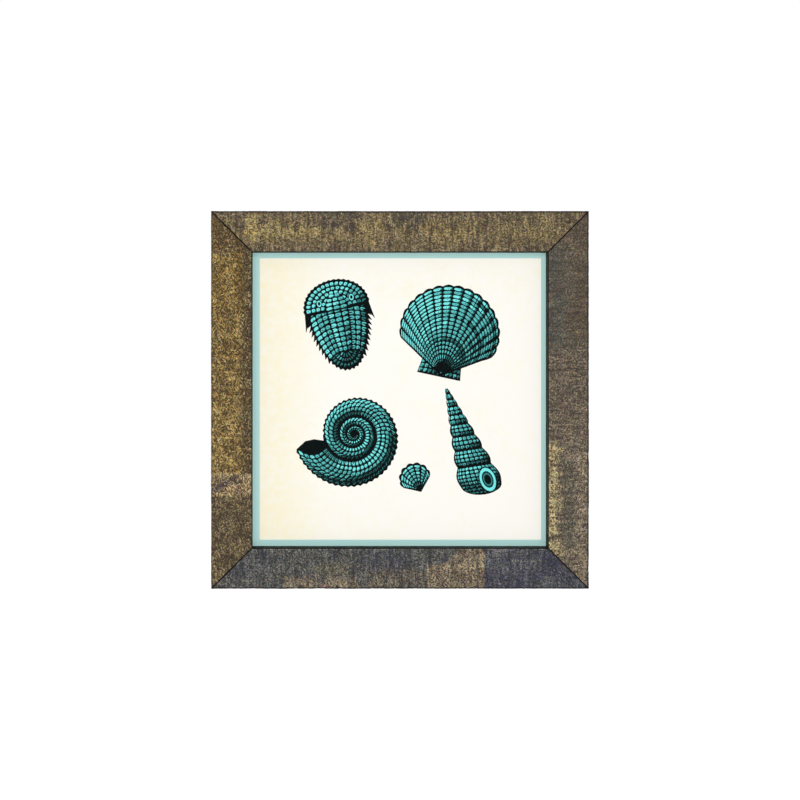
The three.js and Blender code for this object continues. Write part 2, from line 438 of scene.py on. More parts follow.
@dataclass(frozen=True)
class RubbedBronze:
    """The rails' finish on one side of the frame: umber stain under rubbed gilding.

    level is how much gilding is left, which streak_depth and cloud_depth make uneven. Its flecks
    are fleck_size long and wide, in millimetres, lie at fleck_angle degrees, bend by comb and
    start and end over fleck_edge. spark is how much of the pale tint, the painted glints and the
    painted lip highlight stays, tinge how strong the small flecks of hue are, and lip_lap how far
    the lip's dark, its dark paint deepened by painted shade, laps onto the face.
    """

    side: Side
    space: FrameSpace
    rail_width: float
    stain: Colour
    gilding: Colour
    level: float = 0.45
    fleck_angle: float = 40.0
    fleck_size: Point2 = (2.3, 0.95)
    fleck_edge: Point2 = (0.44, 0.63)
    streak_depth: float = 0.8
    cloud_depth: float = 0.4
    pale_streaks: float = 0.3
    saw_marks: float = 0.5
    # How strong the pale glints are, which are painted highlights.
    glints: float = 0.6
    spark: float = 1.0
    edge_dark: float = 0.85
    # How strong the painted highlight along the lip is.
    painted_lip_highlight: float = 0.0
    # How dark the lip is made: its dark paint, deepened by painted shade.
    lip_dark_and_shade: float = 0.7
    lip_lap: float = 0.3
    comb: float = 4.0
    tinge: float = 1.0
    pale: Colour = srgb(232, 219, 168)
    hues: tuple[Colour, Colour] = (srgb(70, 52, 58), srgb(76, 70, 38))
    patches: tuple[Patch, ...] = ()

    # Where a change starts and ends: in the noise's own values, and then in millimetres behind
    # the face, from the outer edge, behind the face and from the mitre.
    UNEVEN = (0.32, 0.68)
    ARRIS = (0.3, 1.1)
    EDGE_DARK = (2.35, 1.4)
    EDGE_FADE = (1.2, 4.0)
    MITRE_DARK = (0.35, 1.05)

    FLECKS_APART = 75.0  # Degrees.
    # LIP_WIDTH is how far the painted lip highlight reaches onto the face.
    LIP_WIDTH = 1.9  # Millimetres.
    HUE_SIZE = 1.9  # Millimetres.

    DARK = srgb(16, 15, 17)
    # Near black, for the mitres' dark joints and for the painted shade on the lip.
    GAP = srgb(6, 5, 6)
    WALL = srgb(48, 38, 31)
    PLUM = srgb(70, 48, 56)
    COPPER = srgb(190, 138, 92)

    # What the colour is multiplied by in the small flecks of hue.
    RUST = (1.22, 0.95, 0.97, 1.0)
    MOSS = (0.87, 1.04, 0.95, 1.0)
    OCHRE = (1.04, 1.01, 0.7, 1.0)
    SLATE = (0.97, 0.99, 1.33, 1.0)

    def material(self) -> Material:
        """Build the finish."""
        shader = RailShader("rubbed_bronze", self.space, self.side)
        flecks = self._flecks(shader)
        streaks = shader.noise((4.0, 30.0, 30.0), detail=3.0, rough=0.62)
        clouds = shader.noise(12.0, detail=3.0, rough=0.55)
        stain, gilding, level, spark = self._patched(shader, clouds, streaks)
        cover: Amount = 1 - (self.streak_depth + self.cloud_depth) / 2
        for uneven, share in ((streaks, self.streak_depth), (clouds, self.cloud_depth)):
            cover = uneven.rising(*self.UNEVEN) * share + cover
        left = (level * cover * (flecks * 1.7 + 0.12)).clamped()
        colour = self._blended(shader, stain, gilding, left, spark)
        thin = shader.noise((3.1, 16.0, 16.0), shift=83.0).rising(0.54, 0.66)
        colour = shader.mix(colour, gilding, thin * (flecks * 0.7 + 0.3) * self.pale_streaks)
        sawn = shader.noise((1.6, 24.0, 24.0), shift=17.0).rising(0.56, 0.7)
        colour = shader.mix(colour, stain, sawn * self.saw_marks)
        colour = self._tinged(shader, self._specks(shader, colour, clouds, spark))
        colour = self._edged(shader, colour, flecks, spark)
        grain = shader.noise((0.9, 5.5, 0.9), detail=3.0, rough=0.6)
        relief = shader.bump(grain, 0.1, shader.bump(flecks, 0.22))
        rough = 0.62 - left * 0.18 + shader.spot[2].rising(*self.ARRIS) * 0.1
        more = {"Metallic": left * 0.22, "Specular IOR Level": 0.28}
        return shader.surface(colour, rough, relief, more)

    def _flecks(self, shader: RailShader) -> Channel:
        """Draw the short worm-like flecks that rubbing leaves, about 0.5 on average."""
        length, width = self.fleck_size
        bend = (shader.noise(9.0, detail=1.0, shift=5.0) - 0.5) * self.comb
        along, across, deep = shader.spot
        along, across = along + bend, across - bend
        fields = []
        for degrees in (self.fleck_angle, self.fleck_angle - self.FLECKS_APART):
            lain = (*turned(along, across, degrees), deep)
            size = (length, width, width)
            worms = shader.noise(size, detail=1.5, rough=0.6, swirl=0.6, at=lain)
            fields.append(worms.rising(*self.fleck_edge))
        share = shader.noise((7.0, 7.0, 9.0), detail=1.0, at=(along, across, deep))
        share = share.rising(0.44, 0.56)
        return fields[0] + (fields[1] - fields[0]) * share

    def _blended(
        self, shader: Shader, stain: Tint, gilding: Tint, left: Channel, spark: Amount
    ) -> Channel:
        """Blend the stain and the gilding, each of them uneven in hue.

        Args:
            shader: The tree.
            stain: The stain's colour.
            gilding: The gilding's colour.
            left: How much gilding is left.
            spark: How much of the pale tint stays.

        Returns:
            The colour.
        """
        hues = shader.noise((13.0, 16.0, 16.0), detail=4.0, rough=0.7, shift=11.0)
        ground = shader.mix(stain, self.hues[0], hues.rising(0.49, 0.62) * 0.7)
        ground = shader.mix(ground, self.hues[1], hues.rising(0.49, 0.36) * 0.7)
        tints = shader.noise((2.4, 2.4, 3.0), detail=1.0, shift=71.0)
        metal = shader.mix(gilding, self.COPPER, tints.rising(0.55, 0.7) * 0.35)
        metal = shader.mix(metal, self.pale, tints.rising(0.46, 0.32) * 0.6 * spark)
        return shader.mix(ground, metal, left)

    def _patched(
        self, shader: RailShader, clouds: Channel, streaks: Channel
    ) -> tuple[Tint, Tint, Amount, Amount]:
        """Lay the patches over the rail's own colours.

        Args:
            shader: The tree.
            clouds: Broad noise that roughens the patches' edges.
            streaks: Noise drawn out across the rail, which frays their long edges.

        Returns:
            Stain, gilding, how much gilding is left, and how much of the pale tint, the painted
            glints and the painted lip highlight stays.
        """
        stain, gilding, level, spark = self.stain, self.gilding, self.level, self.spark
        along, across, _ = shader.spot
        for patch in self.patches:
            wander = (clouds - 0.5) * (patch.soft * (1.0 + patch.soft * 0.5))
            run = along - (across - sum(patch.across) / 2) * patch.slant if patch.slant else along
            fray = across + (streaks - 0.5) * (patch.soft * 3.0)
            mask = patch.strength
            for value, (low, high) in ((run, patch.along), (fray, patch.across)):
                start = (value + wander).rising(low - patch.soft, low + patch.soft)
                stop = (value + wander).rising(high + patch.soft, high - patch.soft)
                mask = start * stop * mask
            stain = shader.mix(stain, patch.stain, mask)
            gilding = shader.mix(gilding, patch.gilding, mask)
            level = mask * patch.lift + level
            if patch.spark < 1:
                spark = (1 - mask * (1 - patch.spark)) * spark
        return stain, gilding, level, spark

    def _specks(self, shader: Shader, colour: Channel, clouds: Channel, spark: Amount) -> Channel:
        """Scatter dark purple-red specks, and pale glints, which are painted highlights, in loose
        groups.

        Args:
            shader: The tree.
            colour: What they lie on.
            clouds: Broad noise that gathers the painted glints.
            spark: How much of the painted glints stays.

        Returns:
            The speckled colour.
        """
        purple = shader.noise(2.1, detail=1.0).rising(0.64, 0.72)
        speckled = shader.mix(colour, self.PLUM, purple * 0.6)
        # Painted glints: pale highlights scattered in loose groups over the rail.
        gathered = shader.noise(1.5, detail=1.0, shift=37.0) + clouds.rising(0.44, 0.6) * 0.07
        return shader.mix(speckled, self.pale, gathered.rising(0.64, 0.74) * self.glints * spark)

    def _tinged(self, shader: Shader, colour: Channel) -> Channel:
        """Break the hue into small rusty, mossy, yellow and slaty flecks.

        Args:
            shader: The tree.
            colour: What they tinge.

        Returns:
            The tinged colour.
        """
        for shift, warm, cool in ((29.0, self.RUST, self.MOSS), (61.0, self.OCHRE, self.SLATE)):
            hue = shader.noise(self.HUE_SIZE, detail=1.0, shift=shift)
            for tint, low, high in ((warm, 0.48, 0.68), (cool, 0.52, 0.32)):
                share = hue.rising(low, high) * self.tinge
                colour = shader.mix(colour, tint, share, Blend.MULTIPLY)
        return colour

    def _edged(
        self, shader: RailShader, colour: Channel, flecks: Channel, spark: Amount
    ) -> Channel:
        """Darken the outer edge, the sides and the mitres, darken the lip with its dark paint and
        painted shade, and paint a highlight along the lip.

        Args:
            shader: The tree.
            colour: The face's colour.
            flecks: The flecks, which break the painted highlight.
            spark: How much of the painted highlight stays.

        Returns:
            The colour of face and sides.
        """
        along, across, deep = shader.spot
        # Painted highlight: a pale band along the lip, standing in for light caught by its eased
        # edge.
        if self.painted_lip_highlight:
            painted_highlight = (across - (self.rail_width - self.LIP_WIDTH)).rising(0.0, 0.5)
            painted_highlight = painted_highlight * (1 - deep.rising(0.1, 0.6)) * flecks.rising(0.1, 0.6)
            colour = shader.mix(colour, self.pale, painted_highlight * spark * self.painted_lip_highlight)
        over_arris = deep.rising(*self.ARRIS)
        from_lip = self.rail_width - across
        # The sides take the umber stain, more of it on the wall inside the lip than on the outer
        # sides.
        wall_share = 0.78 - from_lip.rising(20.0, 36.0) * 0.26
        colour = shader.mix(colour, self.WALL, over_arris * wall_share)
        # Painted shade: the lip's dark paint is deepened towards near black on the wall inside the
        # lip and lapped onto the face, most at the bottom and the right.
        lap = from_lip.rising(self.lip_lap + 0.3, self.lip_lap - 0.3)
        lip = (from_lip.rising(1.0, 0.1) * over_arris).at_least(lap)
        colour = shader.mix(colour, self.GAP, lip * self.lip_dark_and_shade)
        outer = across.rising(*self.EDGE_DARK) * (1 - deep.rising(*self.EDGE_FADE) * 0.75)
        colour = shader.mix(colour, self.DARK, outer * self.edge_dark)
        mitre = (self.space.half - abs(along) - across) * math.sqrt(0.5)
        return shader.mix(colour, self.GAP, (1 - mitre.rising(*self.MITRE_DARK)) * 0.91 + 0.062)


@dataclass(frozen=True)
class Knot:
    """A knot, by its place along and across the rail and its size, in millimetres."""

    along: float
    across: float
    size: float


@dataclass(frozen=True)
class BarePine:
    """The moulding's unfinished wood, on its back and in its rabbet.

    cut moves the grain from rail to rail.
    """

    side: Side
    space: FrameSpace
    cut: float = 0.0
    knots: tuple[Knot, ...] = ()

    PALE = srgb(228, 198, 152)
    DARK = srgb(184, 138, 90)
    KNOT = srgb(120, 78, 46)
    SEAM = srgb(92, 62, 38)
    OVERSPRAY = srgb(74, 60, 44)

    def material(self) -> Material:
        """Build the finish."""
        shader = RailShader("bare_pine", self.space, self.side)
        along, across, deep = shader.spot
        grown = (along, across + deep * 0.6 + self.cut, 0.0)
        bend = shader.noise((110.0, 26.0, 1.0), shift=self.cut, at=grown) * 16.0
        knotty: Amount = 0.0
        for knot in self.knots:
            off_along = (along - knot.along) / (knot.size * 2.2)
            off_across = (across - knot.across) / knot.size
            off = off_along * off_along + off_across * off_across
            swell = 1 / (off + 1.0)
            bend = bend + swell * swell * (knot.size * 1.6)
            knotty = (off.rising(1.7, 0.9) * ((off * 8.0).wave() * 0.3 + 0.7)).at_least(knotty)
        phase = (grown[1] + bend) * 2.1
        thick = shader.noise((160.0, 7.0, 1.0), detail=1.0, shift=3.0, at=grown)
        lines = (phase + phase.wave() * 0.7).wave().rising(-0.4, 1.0) * thick.rising(0.3, 0.68)
        fibre = shader.noise((22.0, 0.42, 0.42), detail=3.0, rough=0.65)
        share = lines * 0.62 + (fibre - 0.5) * 0.8 + (thick - 0.5) * 0.3
        colour = shader.mix(self.PALE, self.DARK, share.clamped())
        colour = shader.mix(colour, self.KNOT, knotty * 0.9)
        ragged = (shader.noise(4.0, detail=3.0, rough=0.7) - 0.5) * 5.0
        colour = shader.mix(colour, self.OVERSPRAY, (across + ragged).rising(2.6, 0.2) * 0.85)
        mitre = self.space.half - abs(along) - across
        colour = shader.mix(colour, self.SEAM, mitre.rising(0.9, 0.2) * 0.7)
        sawn = shader.noise((0.8, 9.0, 9.0))
        return shader.surface(colour, 0.72, shader.bump(fibre, 0.12, shader.bump(sawn, 0.1)))


@dataclass(frozen=True)
class SheetPaper:
    """Heavy uncoated paper, toned cream and clouded by age, most of all down its left side."""

    space: FrameSpace

    CREAM = srgb(253, 251, 243)
    WARM = srgb(251, 242, 208)

    def material(self) -> Material:
        """Build the finish."""
        shader = Shader("toned_paper")
        spot = x, _, up = self.space.print_spot(shader)
        cloud = shader.noise((24.0, 1.0, 24.0), detail=4.0, rough=0.6, at=spot) - 0.5
        mottle = shader.noise((7.0, 1.0, 7.0), detail=4.0, rough=0.65, at=spot) - 0.5
        side = (x + cloud * 70.0 + mottle * 30.0).rising(-62.0, -128.0)
        low = (up + cloud * 70.0).rising(-66.0, -130.0) * x.rising(40.0, -90.0)
        high = (up + cloud * 60.0).rising(72.0, 136.0)
        warmth = side * 0.55 + low * 0.14 + high * 0.12 + cloud * 0.62
        warmth = warmth + mottle * (side * 0.9 + 0.75) - 0.01
        colour = shader.mix(self.CREAM, self.WARM, warmth.clamped())
        tooth = shader.noise((0.35, 1.0, 0.35), at=spot)
        return shader.surface(colour, 0.9, shader.bump(tooth, 0.012), {"Specular IOR Level": 0.2})


@dataclass(frozen=True)
class PrintedInk:
    """An ink laid on the sheet: flat colour, a little uneven as a press leaves it."""

    name: str
    colour: Colour
    uneven: float

    def material(self) -> Material:
        """Build the finish."""
        shader = Shader(self.name)
        darker, lighter = (
            (*(min(1.0, value * (1 + more)) for value in self.colour[:3]), 1.0)
            for more in (-self.uneven, self.uneven)
        )
        colour = shader.mix(darker, lighter, shader.noise((1.6, 1.0, 1.6)).rising(0.3, 0.7))
        tooth = shader.noise((0.35, 1.0, 0.35))
        return shader.surface(colour, 0.88, shader.bump(tooth, 0.01), {"Specular IOR Level": 0.08})


@dataclass(frozen=True)
class PictureGlass:
    """Clear low-reflection picture glass, which mirrors only where light comes in."""

    reflection_ior: float = 1.12
    roughness: float = 0.02

    CLEAR = (1.0, 1.0, 1.0, 1.0)
    MIRRORED = (0.9, 0.95, 0.95, 1.0)

    def material(self) -> Material:
        """Build the finish."""
        shader = Shader("picture_glass")
        leaving = shader.node("ShaderNodeNewGeometry", result="Backfacing")
        fresnel = shader.node("ShaderNodeFresnel", values={"IOR": self.reflection_ior})
        mirrored = fresnel * (1 - leaving)
        clear = shader.node("ShaderNodeBsdfTransparent", values={"Color": self.CLEAR})
        values = {"Base Color": self.MIRRORED, "Metallic": 1.0, "Roughness": self.roughness}
        gloss = shader.node("ShaderNodeBsdfPrincipled", values=values)
        return shader.blended(mirrored, clear, gloss)


@dataclass(frozen=True)
class Hardboard:
    """Brown hardboard, smooth with fine pressed fibre."""

    LIGHT = srgb(143, 106, 73)
    DARK = srgb(126, 90, 60)
    FIBRE = srgb(92, 62, 40)
    STRAW = srgb(176, 138, 98)

    def material(self) -> Material:
        """Build the finish."""
        shader = Shader("hardboard")
        x, y, z = shader.spot
        pressed = shader.noise((38.0, 9.0, 38.0), detail=6.0, rough=0.66)
        colour = shader.mix(self.LIGHT, self.DARK, pressed.rising(0.3, 0.7))
        fibre: Amount = 0.0
        for degrees, tint in ((20.0, self.FIBRE), (75.0, self.STRAW), (130.0, self.FIBRE)):
            run, rise = turned(x, z, degrees)
            lain = (run, y, rise)
            strand = shader.noise((5.0, 1.0, 0.5), swirl=0.8, shift=degrees, at=lain)
            strand = strand.rising(0.6, 0.74)
            colour = shader.mix(colour, tint, strand * 0.5)
            fibre = strand * 0.33 + fibre
        return shader.surface(colour, 0.62 + fibre * 0.15, shader.bump(fibre, 0.04))


@dataclass(frozen=True)
class WorkedSteel:
    """Small steel hardware: rolled, with faint lines, dull spots and a plated tint."""

    name: str
    bright: Colour
    dull: Colour
    roughness: float

    def material(self) -> Material:
        """Build the finish."""
        shader = Shader(self.name)
        rolled = shader.noise((0.12, 2.0, 4.0))
        spots = shader.noise(3.5, detail=4.0, rough=0.6).rising(0.48, 0.8)
        colour = shader.mix(self.bright, self.dull, spots * 0.7)
        rough = self.roughness + (rolled - 0.5) * 0.12 + spots * 0.14
        return shader.surface(colour, rough, shader.bump(rolled, 0.006), {"Metallic": 1.0})


@dataclass(frozen=True)
class BlackRubber:
    """Moulded black rubber with a dusty bloom."""

    CLEAN = srgb(22, 22, 23)
    DUSTY = srgb(52, 51, 50)

    def material(self) -> Material:
        """Build the finish."""
        shader = Shader("black_rubber")
        bloom = shader.noise(1.4, detail=4.0, rough=0.65)
        colour = shader.mix(self.CLEAN, self.DUSTY, bloom.rising(0.45, 0.75))
        rough = 0.66 + bloom * 0.2
        return shader.surface(colour, rough, shader.bump(shader.noise(0.25), 0.02))


# --- Modelled relief and meshes ---


def step(value: np.ndarray, low: float, high: float) -> np.ndarray:
    """Give a smooth step from 0 at low to 1 at high."""
    share = np.clip((value - low) / (high - low), 0.0, 1.0)
    return share * share * (3 - 2 * share)


class Lattice:
    """Smooth seeded noise on a plane, from 0 to 1, for relief that is modelled."""

    CELLS = 256

    def __init__(self, seed: int) -> None:
        """Draw the lattice's values."""
        self.values = np.random.default_rng(seed).random((self.CELLS, self.CELLS))

    def at(self, x: np.ndarray, y: np.ndarray) -> np.ndarray:
        """Give the noise at points in units of the features' size.

        Args:
            x: First coordinates.
            y: Second coordinates, of the same shape.

        Returns:
            The noise there.
        """
        column, row = np.floor(x).astype(int), np.floor(y).astype(int)
        share_x, share_y = step(x - column, 0, 1), step(y - row, 0, 1)
        near, far = column % self.CELLS, (column + 1) % self.CELLS
        low, high = (
            self.values[line % self.CELLS, near] * (1 - share_x)
            + self.values[line % self.CELLS, far] * share_x
            for line in (row, row + 1)
        )
        return low * (1 - share_y) + high * share_y


def neighbours(outline: Sequence[Item]) -> Iterable[tuple[Item, Item]]:
    """Give each point of a closed outline with the next one."""
    return pairwise([*outline, outline[0]])


def rings(rows: int, count: int, start: int = 0) -> list[list[int]]:
    """Join rows of points, each a closed ring, in four-sided faces.

    Args:
        rows: How many rings there are.
        count: How many points each has.
        start: The first point's number.

    Returns:
        The faces, ring by ring.
    """
    return [
        [low + i, low + count + i, low + count + (i + 1) % count, low + (i + 1) % count]
        for low in range(start, start + (rows - 1) * count, count)
        for i in range(count)
    ]


def mesh_object(
    name: str,
    points: Sequence[Sequence[float]],
    faces: Sequence[Sequence[int]],
    materials: Sequence[Material],
    slots: Sequence[int] | None = None,
    smooth: float = 0.0,
) -> Piece:
    """Make a mesh object in the scene.

    Args:
        name: The piece's name.
        points: Its vertices, in metres.
        faces: Its faces, as vertex numbers that run anticlockwise from outside.
        materials: Its material slots.
        slots: Each face's slot, all 0 if left out.
        smooth: Faces that meet at less than this angle, in degrees, are shaded as one.

    Returns:
        The object.
    """
    mesh = bpy.data.meshes.new(name)
    mesh.from_pydata(points, [], faces)
    for material in materials:
        mesh.materials.append(material)
    if slots is not None:
        mesh.polygons.foreach_set("material_index", list(slots))
    if smooth:
        mesh.shade_smooth()
        mesh.set_sharp_from_angle(angle=math.radians(smooth))
    mesh.update()
    made = bpy.data.objects.new(name, mesh)
    bpy.context.scene.collection.objects.link(made)
    return made


def settle(piece: Piece, slot: str, *nodes: str) -> None:
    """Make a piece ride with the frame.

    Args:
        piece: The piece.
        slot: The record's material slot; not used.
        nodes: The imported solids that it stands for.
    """
    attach(piece, "root")
    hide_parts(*nodes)
    LOG.info("%s: %d faces", piece.name, len(piece.data.polygons))


# --- Rails ---


@dataclass(frozen=True)
class ProfilePoint:
    """A point of the moulding's section, in millimetres.

    across runs from the outer edge, deep from the face, inward is the way into the wood as
    (across, deep), and rough is the share of relief there, which is 0 in unfinished wood.
    """

    across: float
    deep: float
    inward: Point2
    rough: float = 0.0

    def away(self, other: "ProfilePoint") -> float:
        """Give the distance to another point."""
        return math.dist((self.across, self.deep), (other.across, other.deep))


@dataclass
class Moulding:
    """The section of the rails, in millimetres, and how finely it is modelled."""

    width: float = 41.2
    eased: float = 0.8
    lip_depth: float = 10.0
    rabbet: float = 4.75
    depth: float = 22.0
    face_step: float = 0.72
    side_step: float = 1.5
    back_step: float = 6.0
    arris_steps: int = 5

    def section(self) -> list[ProfilePoint]:
        """Give the section's points: up the outer side, over the face and round the rabbet."""
        wall, lip, shoulder = self.width - self.rabbet, self.width - self.eased, self.lip_depth
        side, back = self.side_step, self.back_step
        return [
            *self._run((0, self.depth), (0, self.eased), side, (1, 0), 0.3),
            *self._arc(self.eased, 180),
            *self._run((self.eased, 0), (lip, 0), self.face_step, (0, 1), 1.0),
            *self._arc(lip, 270),
            *self._run((self.width, self.eased), (self.width, shoulder), side, (-1, 0), 0.4),
            *self._run((self.width, shoulder), (wall, shoulder), back, (0, -1)),
            *self._run((wall, shoulder), (wall, self.depth), back, (-1, 0)),
            *self._run((wall, self.depth), (0, self.depth), back, (0, -1)),
        ]

    @staticmethod
    def _run(
        start: Point2, stop: Point2, spacing: float, inward: Point2, rough: float = 0.0
    ) -> Iterable[ProfilePoint]:
        """Give a straight stretch, with its start but not its end.

        Args:
            start: Where it starts.
            stop: Where it ends.
            spacing: The greatest distance between points.
            inward: The way into the wood.
            rough: The share of relief.

        Returns:
            The points.
        """
        count = math.ceil(math.dist(start, stop) / spacing)
        for i in range(count):
            across, deep = (a + (b - a) * i / count for a, b in zip(start, stop))
            yield ProfilePoint(across, deep, inward, rough)

    def _arc(self, centre: float, from_degrees: float) -> Iterable[ProfilePoint]:
        """Give an eased edge of the face, without its end points.

        Args:
            centre: The arc's centre across the face.
            from_degrees: The angle that it starts from, clockwise as the section is drawn.

        Returns:
            The points.
        """
        for i in range(1, self.arris_steps):
            cos, sin = polar(1.0, math.radians(from_degrees + 90 * i / self.arris_steps))
            yield ProfilePoint(centre + self.eased * cos, self.eased * (1 + sin), (-cos, -sin), 1.0)


@dataclass
class Rail:
    """One mitred rail with its rough-sawn, worn surface."""

    side: Side
    space: FrameSpace
    moulding: Moulding
    finish: RubbedBronze
    wood: BarePine
    seed: int
    column: float = 0.72
    mitre_gap: float = 0.03
    mitre_eased: float = 0.55
    saw_depth: float = 0.16
    pit_depth: float = 0.2
    sway_depth: float = 0.22
    chip_depth: float = 0.45
    worn_share: float = 0.2
    worn_reach: float = 2.4
    smooth_degrees: float = 50.0
    end_columns: tuple[float, ...] = (0.0, 0.2, 0.4, 0.65)

    BARE = 1

    # The bake map: how much of its height the rail's sides take, where its ends lie above
    # them, and the ends' scale in a millimetre.
    MAP_SIDES = 0.95
    MAP_ENDS = 0.96
    MAP_END_SCALE = (0.009, 0.0015)

    def build(self) -> None:
        """Build and dress the rail."""
        section = self.moulding.section()
        points = self._points(section)
        rows, count, _ = points.shape
        last = (rows - 1) * count
        caps = [list(range(count)), list(range(last + count - 1, last - 1, -1))]
        slots = [self.BARE if point.rough == 0 else 0 for point in section] * (rows - 1)
        piece = mesh_object(
            f"{self.side.node}_finished",
            points.reshape(-1, 3).tolist(),
            rings(rows, count) + caps,
            [self.finish.material(), self.wood.material()],
            [*slots, self.BARE, self.BARE],
            self.smooth_degrees,
        )
        self._unwrap(piece, section, rows)
        settle(piece, "bronzed_wood", self.side.node)

    def _points(self, section: Sequence[ProfilePoint]) -> np.ndarray:
        """Give the rail's points in metres, as one row of the section's for each column."""
        outline = [(point.across, point.deep, *point.inward) for point in section]
        across, deep, into_across, into_deep = np.array(outline).T
        ends = np.array(self.end_columns)
        shares = np.linspace(-1, 1, round(2 * self.space.half / self.column))
        signs = np.concatenate([-np.ones(ends.size), shares, np.ones(ends.size)])
        insets = np.concatenate([ends, np.full(shares.size, ends[-1] + self.column), ends[::-1]])
        stretch = self.space.half - across - self.mitre_gap / math.sqrt(2)
        along = signs[:, None] * (stretch - insets[:, None])
        depth = self._relief(section, along, (stretch - np.abs(along)) / math.sqrt(2))
        return self._placed(along, across + depth * into_across, deep + depth * into_deep)

    @staticmethod
    def _girth(section: Sequence[ProfilePoint]) -> np.ndarray:
        """Give the way round the section to each of its points, and on to the first again."""
        ways = [point.away(other) for point, other in neighbours(section)]
        return np.concatenate([[0.0], np.cumsum(ways)])

    def _relief(
        self, section: Sequence[ProfilePoint], along: np.ndarray, from_mitre: np.ndarray
    ) -> np.ndarray:
        """Work out how far each point sinks into the wood.

        Args:
            section: The section's points.
            along: Millimetres along the rail, a row for each column of points.
            from_mitre: Millimetres from the mitre's plane.

        Returns:
            Millimetres of depth, never negative.
        """
        girth = self._girth(section)[:-1] + np.zeros_like(along)
        fine, broad, chips = (Lattice(self.seed + i) for i in range(3))
        saw = np.abs(fine.at(along / 1.5 + 50, girth / 22.0) - 0.5) * 2
        pits = fine.at(along / 2.4 + 90, girth / 2.0 + 40) ** 2
        sway = broad.at(along / 24.0 + 60, girth / 17.0)
        rough = np.array([point.rough for point in section])
        relief = (saw * self.saw_depth + pits * self.pit_depth + sway * self.sway_depth) * rough
        bite = step(chips.at(along / 5.5 + 70, girth / 9.0), 0.62, 0.95)
        worn = step(broad.at(along / 31.0 + 20, girth / 60.0), 0.35, 0.9) * self.worn_share
        arris = np.array([self._arris_share(point) for point in section])
        groove = np.clip(self.mitre_eased - from_mitre, 0.0, None) * (rough > 0.9)
        return relief + arris * (bite + worn) * self.chip_depth + groove

    def _arris_share(self, point: ProfilePoint) -> float:
        """Give how much of the edges' wear a point of the section takes, from 0 to 1."""
        if point.rough == 0 or point.deep > 3.0:
            return 0.0
        to_edge = min(point.across, abs(self.moulding.width - point.across)) + point.deep
        return max(0.0, 1 - to_edge / self.worn_reach) ** 1.5

    def _placed(self, along: np.ndarray, across: np.ndarray, deep: np.ndarray) -> np.ndarray:
        """Place points of the rail in the frame.

        Args:
            along: Millimetres along the rail.
            across: Millimetres from its outer edge.
            deep: Millimetres behind its face.

        Returns:
            The points, in metres.
        """
        (out_x, out_z), (run_x, run_z) = self.side.value, self.side.along
        outward = self.space.half - across
        x, z = along * run_x + outward * out_x, along * run_z + outward * out_z
        return np.stack([x, deep + self.space.front, z + self.space.middle_z / MM], axis=-1) * MM

    def _unwrap(self, piece: Piece, section: Sequence[ProfilePoint], rows: int) -> None:
        """Lay the rail out flat for baking: along it by round it, with its ends in a strip.

        Args:
            piece: The rail.
            section: The section's points.
            rows: How many sections lie along the rail.
        """
        girth = self._girth(section)
        v, u = girth / girth[-1] * self.MAP_SIDES, np.linspace(0.005, 0.995, rows)
        i, j = np.meshgrid(np.arange(rows - 1), np.arange(len(section)), indexing="ij")
        corners = [(u[i + right], v[j + up]) for right, up in ((0, 0), (1, 0), (1, 1), (0, 1))]
        sides = np.stack([np.stack(corner, axis=-1) for corner in corners], axis=2).reshape(-1, 2)
        scale_u, scale_v = self.MAP_END_SCALE
        ends = [
            [start + point.across * scale_u, self.MAP_ENDS + point.deep * scale_v]
            for start, order in ((0.02, section), (0.52, section[::-1]))
            for point in order
        ]
        layer = piece.data.uv_layers.new(name="OFBake")
        layer.data.foreach_set("uv", np.concatenate([sides, np.array(ends)]).ravel())


# --- The printed plate ---


class Ink(Enum):
    """What covers a part of the sheet, by its material slot."""

    PAPER = 0
    BORDER = 1
    LIGHT = 2
    TEAL = 3
    DEEP = 4
    BLACK = 5


@dataclass(frozen=True)
class Region:
    """A closed outline on the sheet, in millimetres from its centre, filled with one ink."""

    outline: tuple[Point2, ...]
    ink: Ink

    def holds(self, x: float, y: float) -> bool:
        """Say whether a point lies inside, by how often a line to its right meets the outline."""
        inside = False
        for (x0, y0), (x1, y1) in neighbours(self.outline):
            if (y0 > y) != (y1 > y) and x < x0 + (y - y0) * (x1 - x0) / (y1 - y0):
                inside = not inside
        return inside


def spread(low: float, high: float, count: int) -> list[float]:
    """Give the ends of equal steps from one number to another."""
    return [low + (high - low) * i / count for i in range(count + 1)]


def oval(centre: Point2, wide: float, high: float, count: int) -> list[Point2]:
    """Give points round an oval.

    Args:
        centre: Its middle.
        wide: Half its width.
        high: Half its height.
        count: How many points it has.

    Returns:
        The points, anticlockwise.
    """
    angles = spread(0, math.tau, count)[:-1]
    return [(centre[0] + wide * math.cos(a), centre[1] + high * math.sin(a)) for a in angles]


def between(corners: Outline, p: float, q: float) -> Point2:
    """Give a point of a four-cornered cell.

    Args:
        corners: The cell's corners, in order round it.
        p: The place from -1 to 1 along its first side.
        q: The place from -1 to 1 along its second side.

    Returns:
        The point.
    """
    shares = [(1 + i * p) * (1 + j * q) for i, j in CORNERS]
    return tuple(
        sum(share * corner[axis] for share, corner in zip(shares, corners)) / 4 for axis in (0, 1)
    )


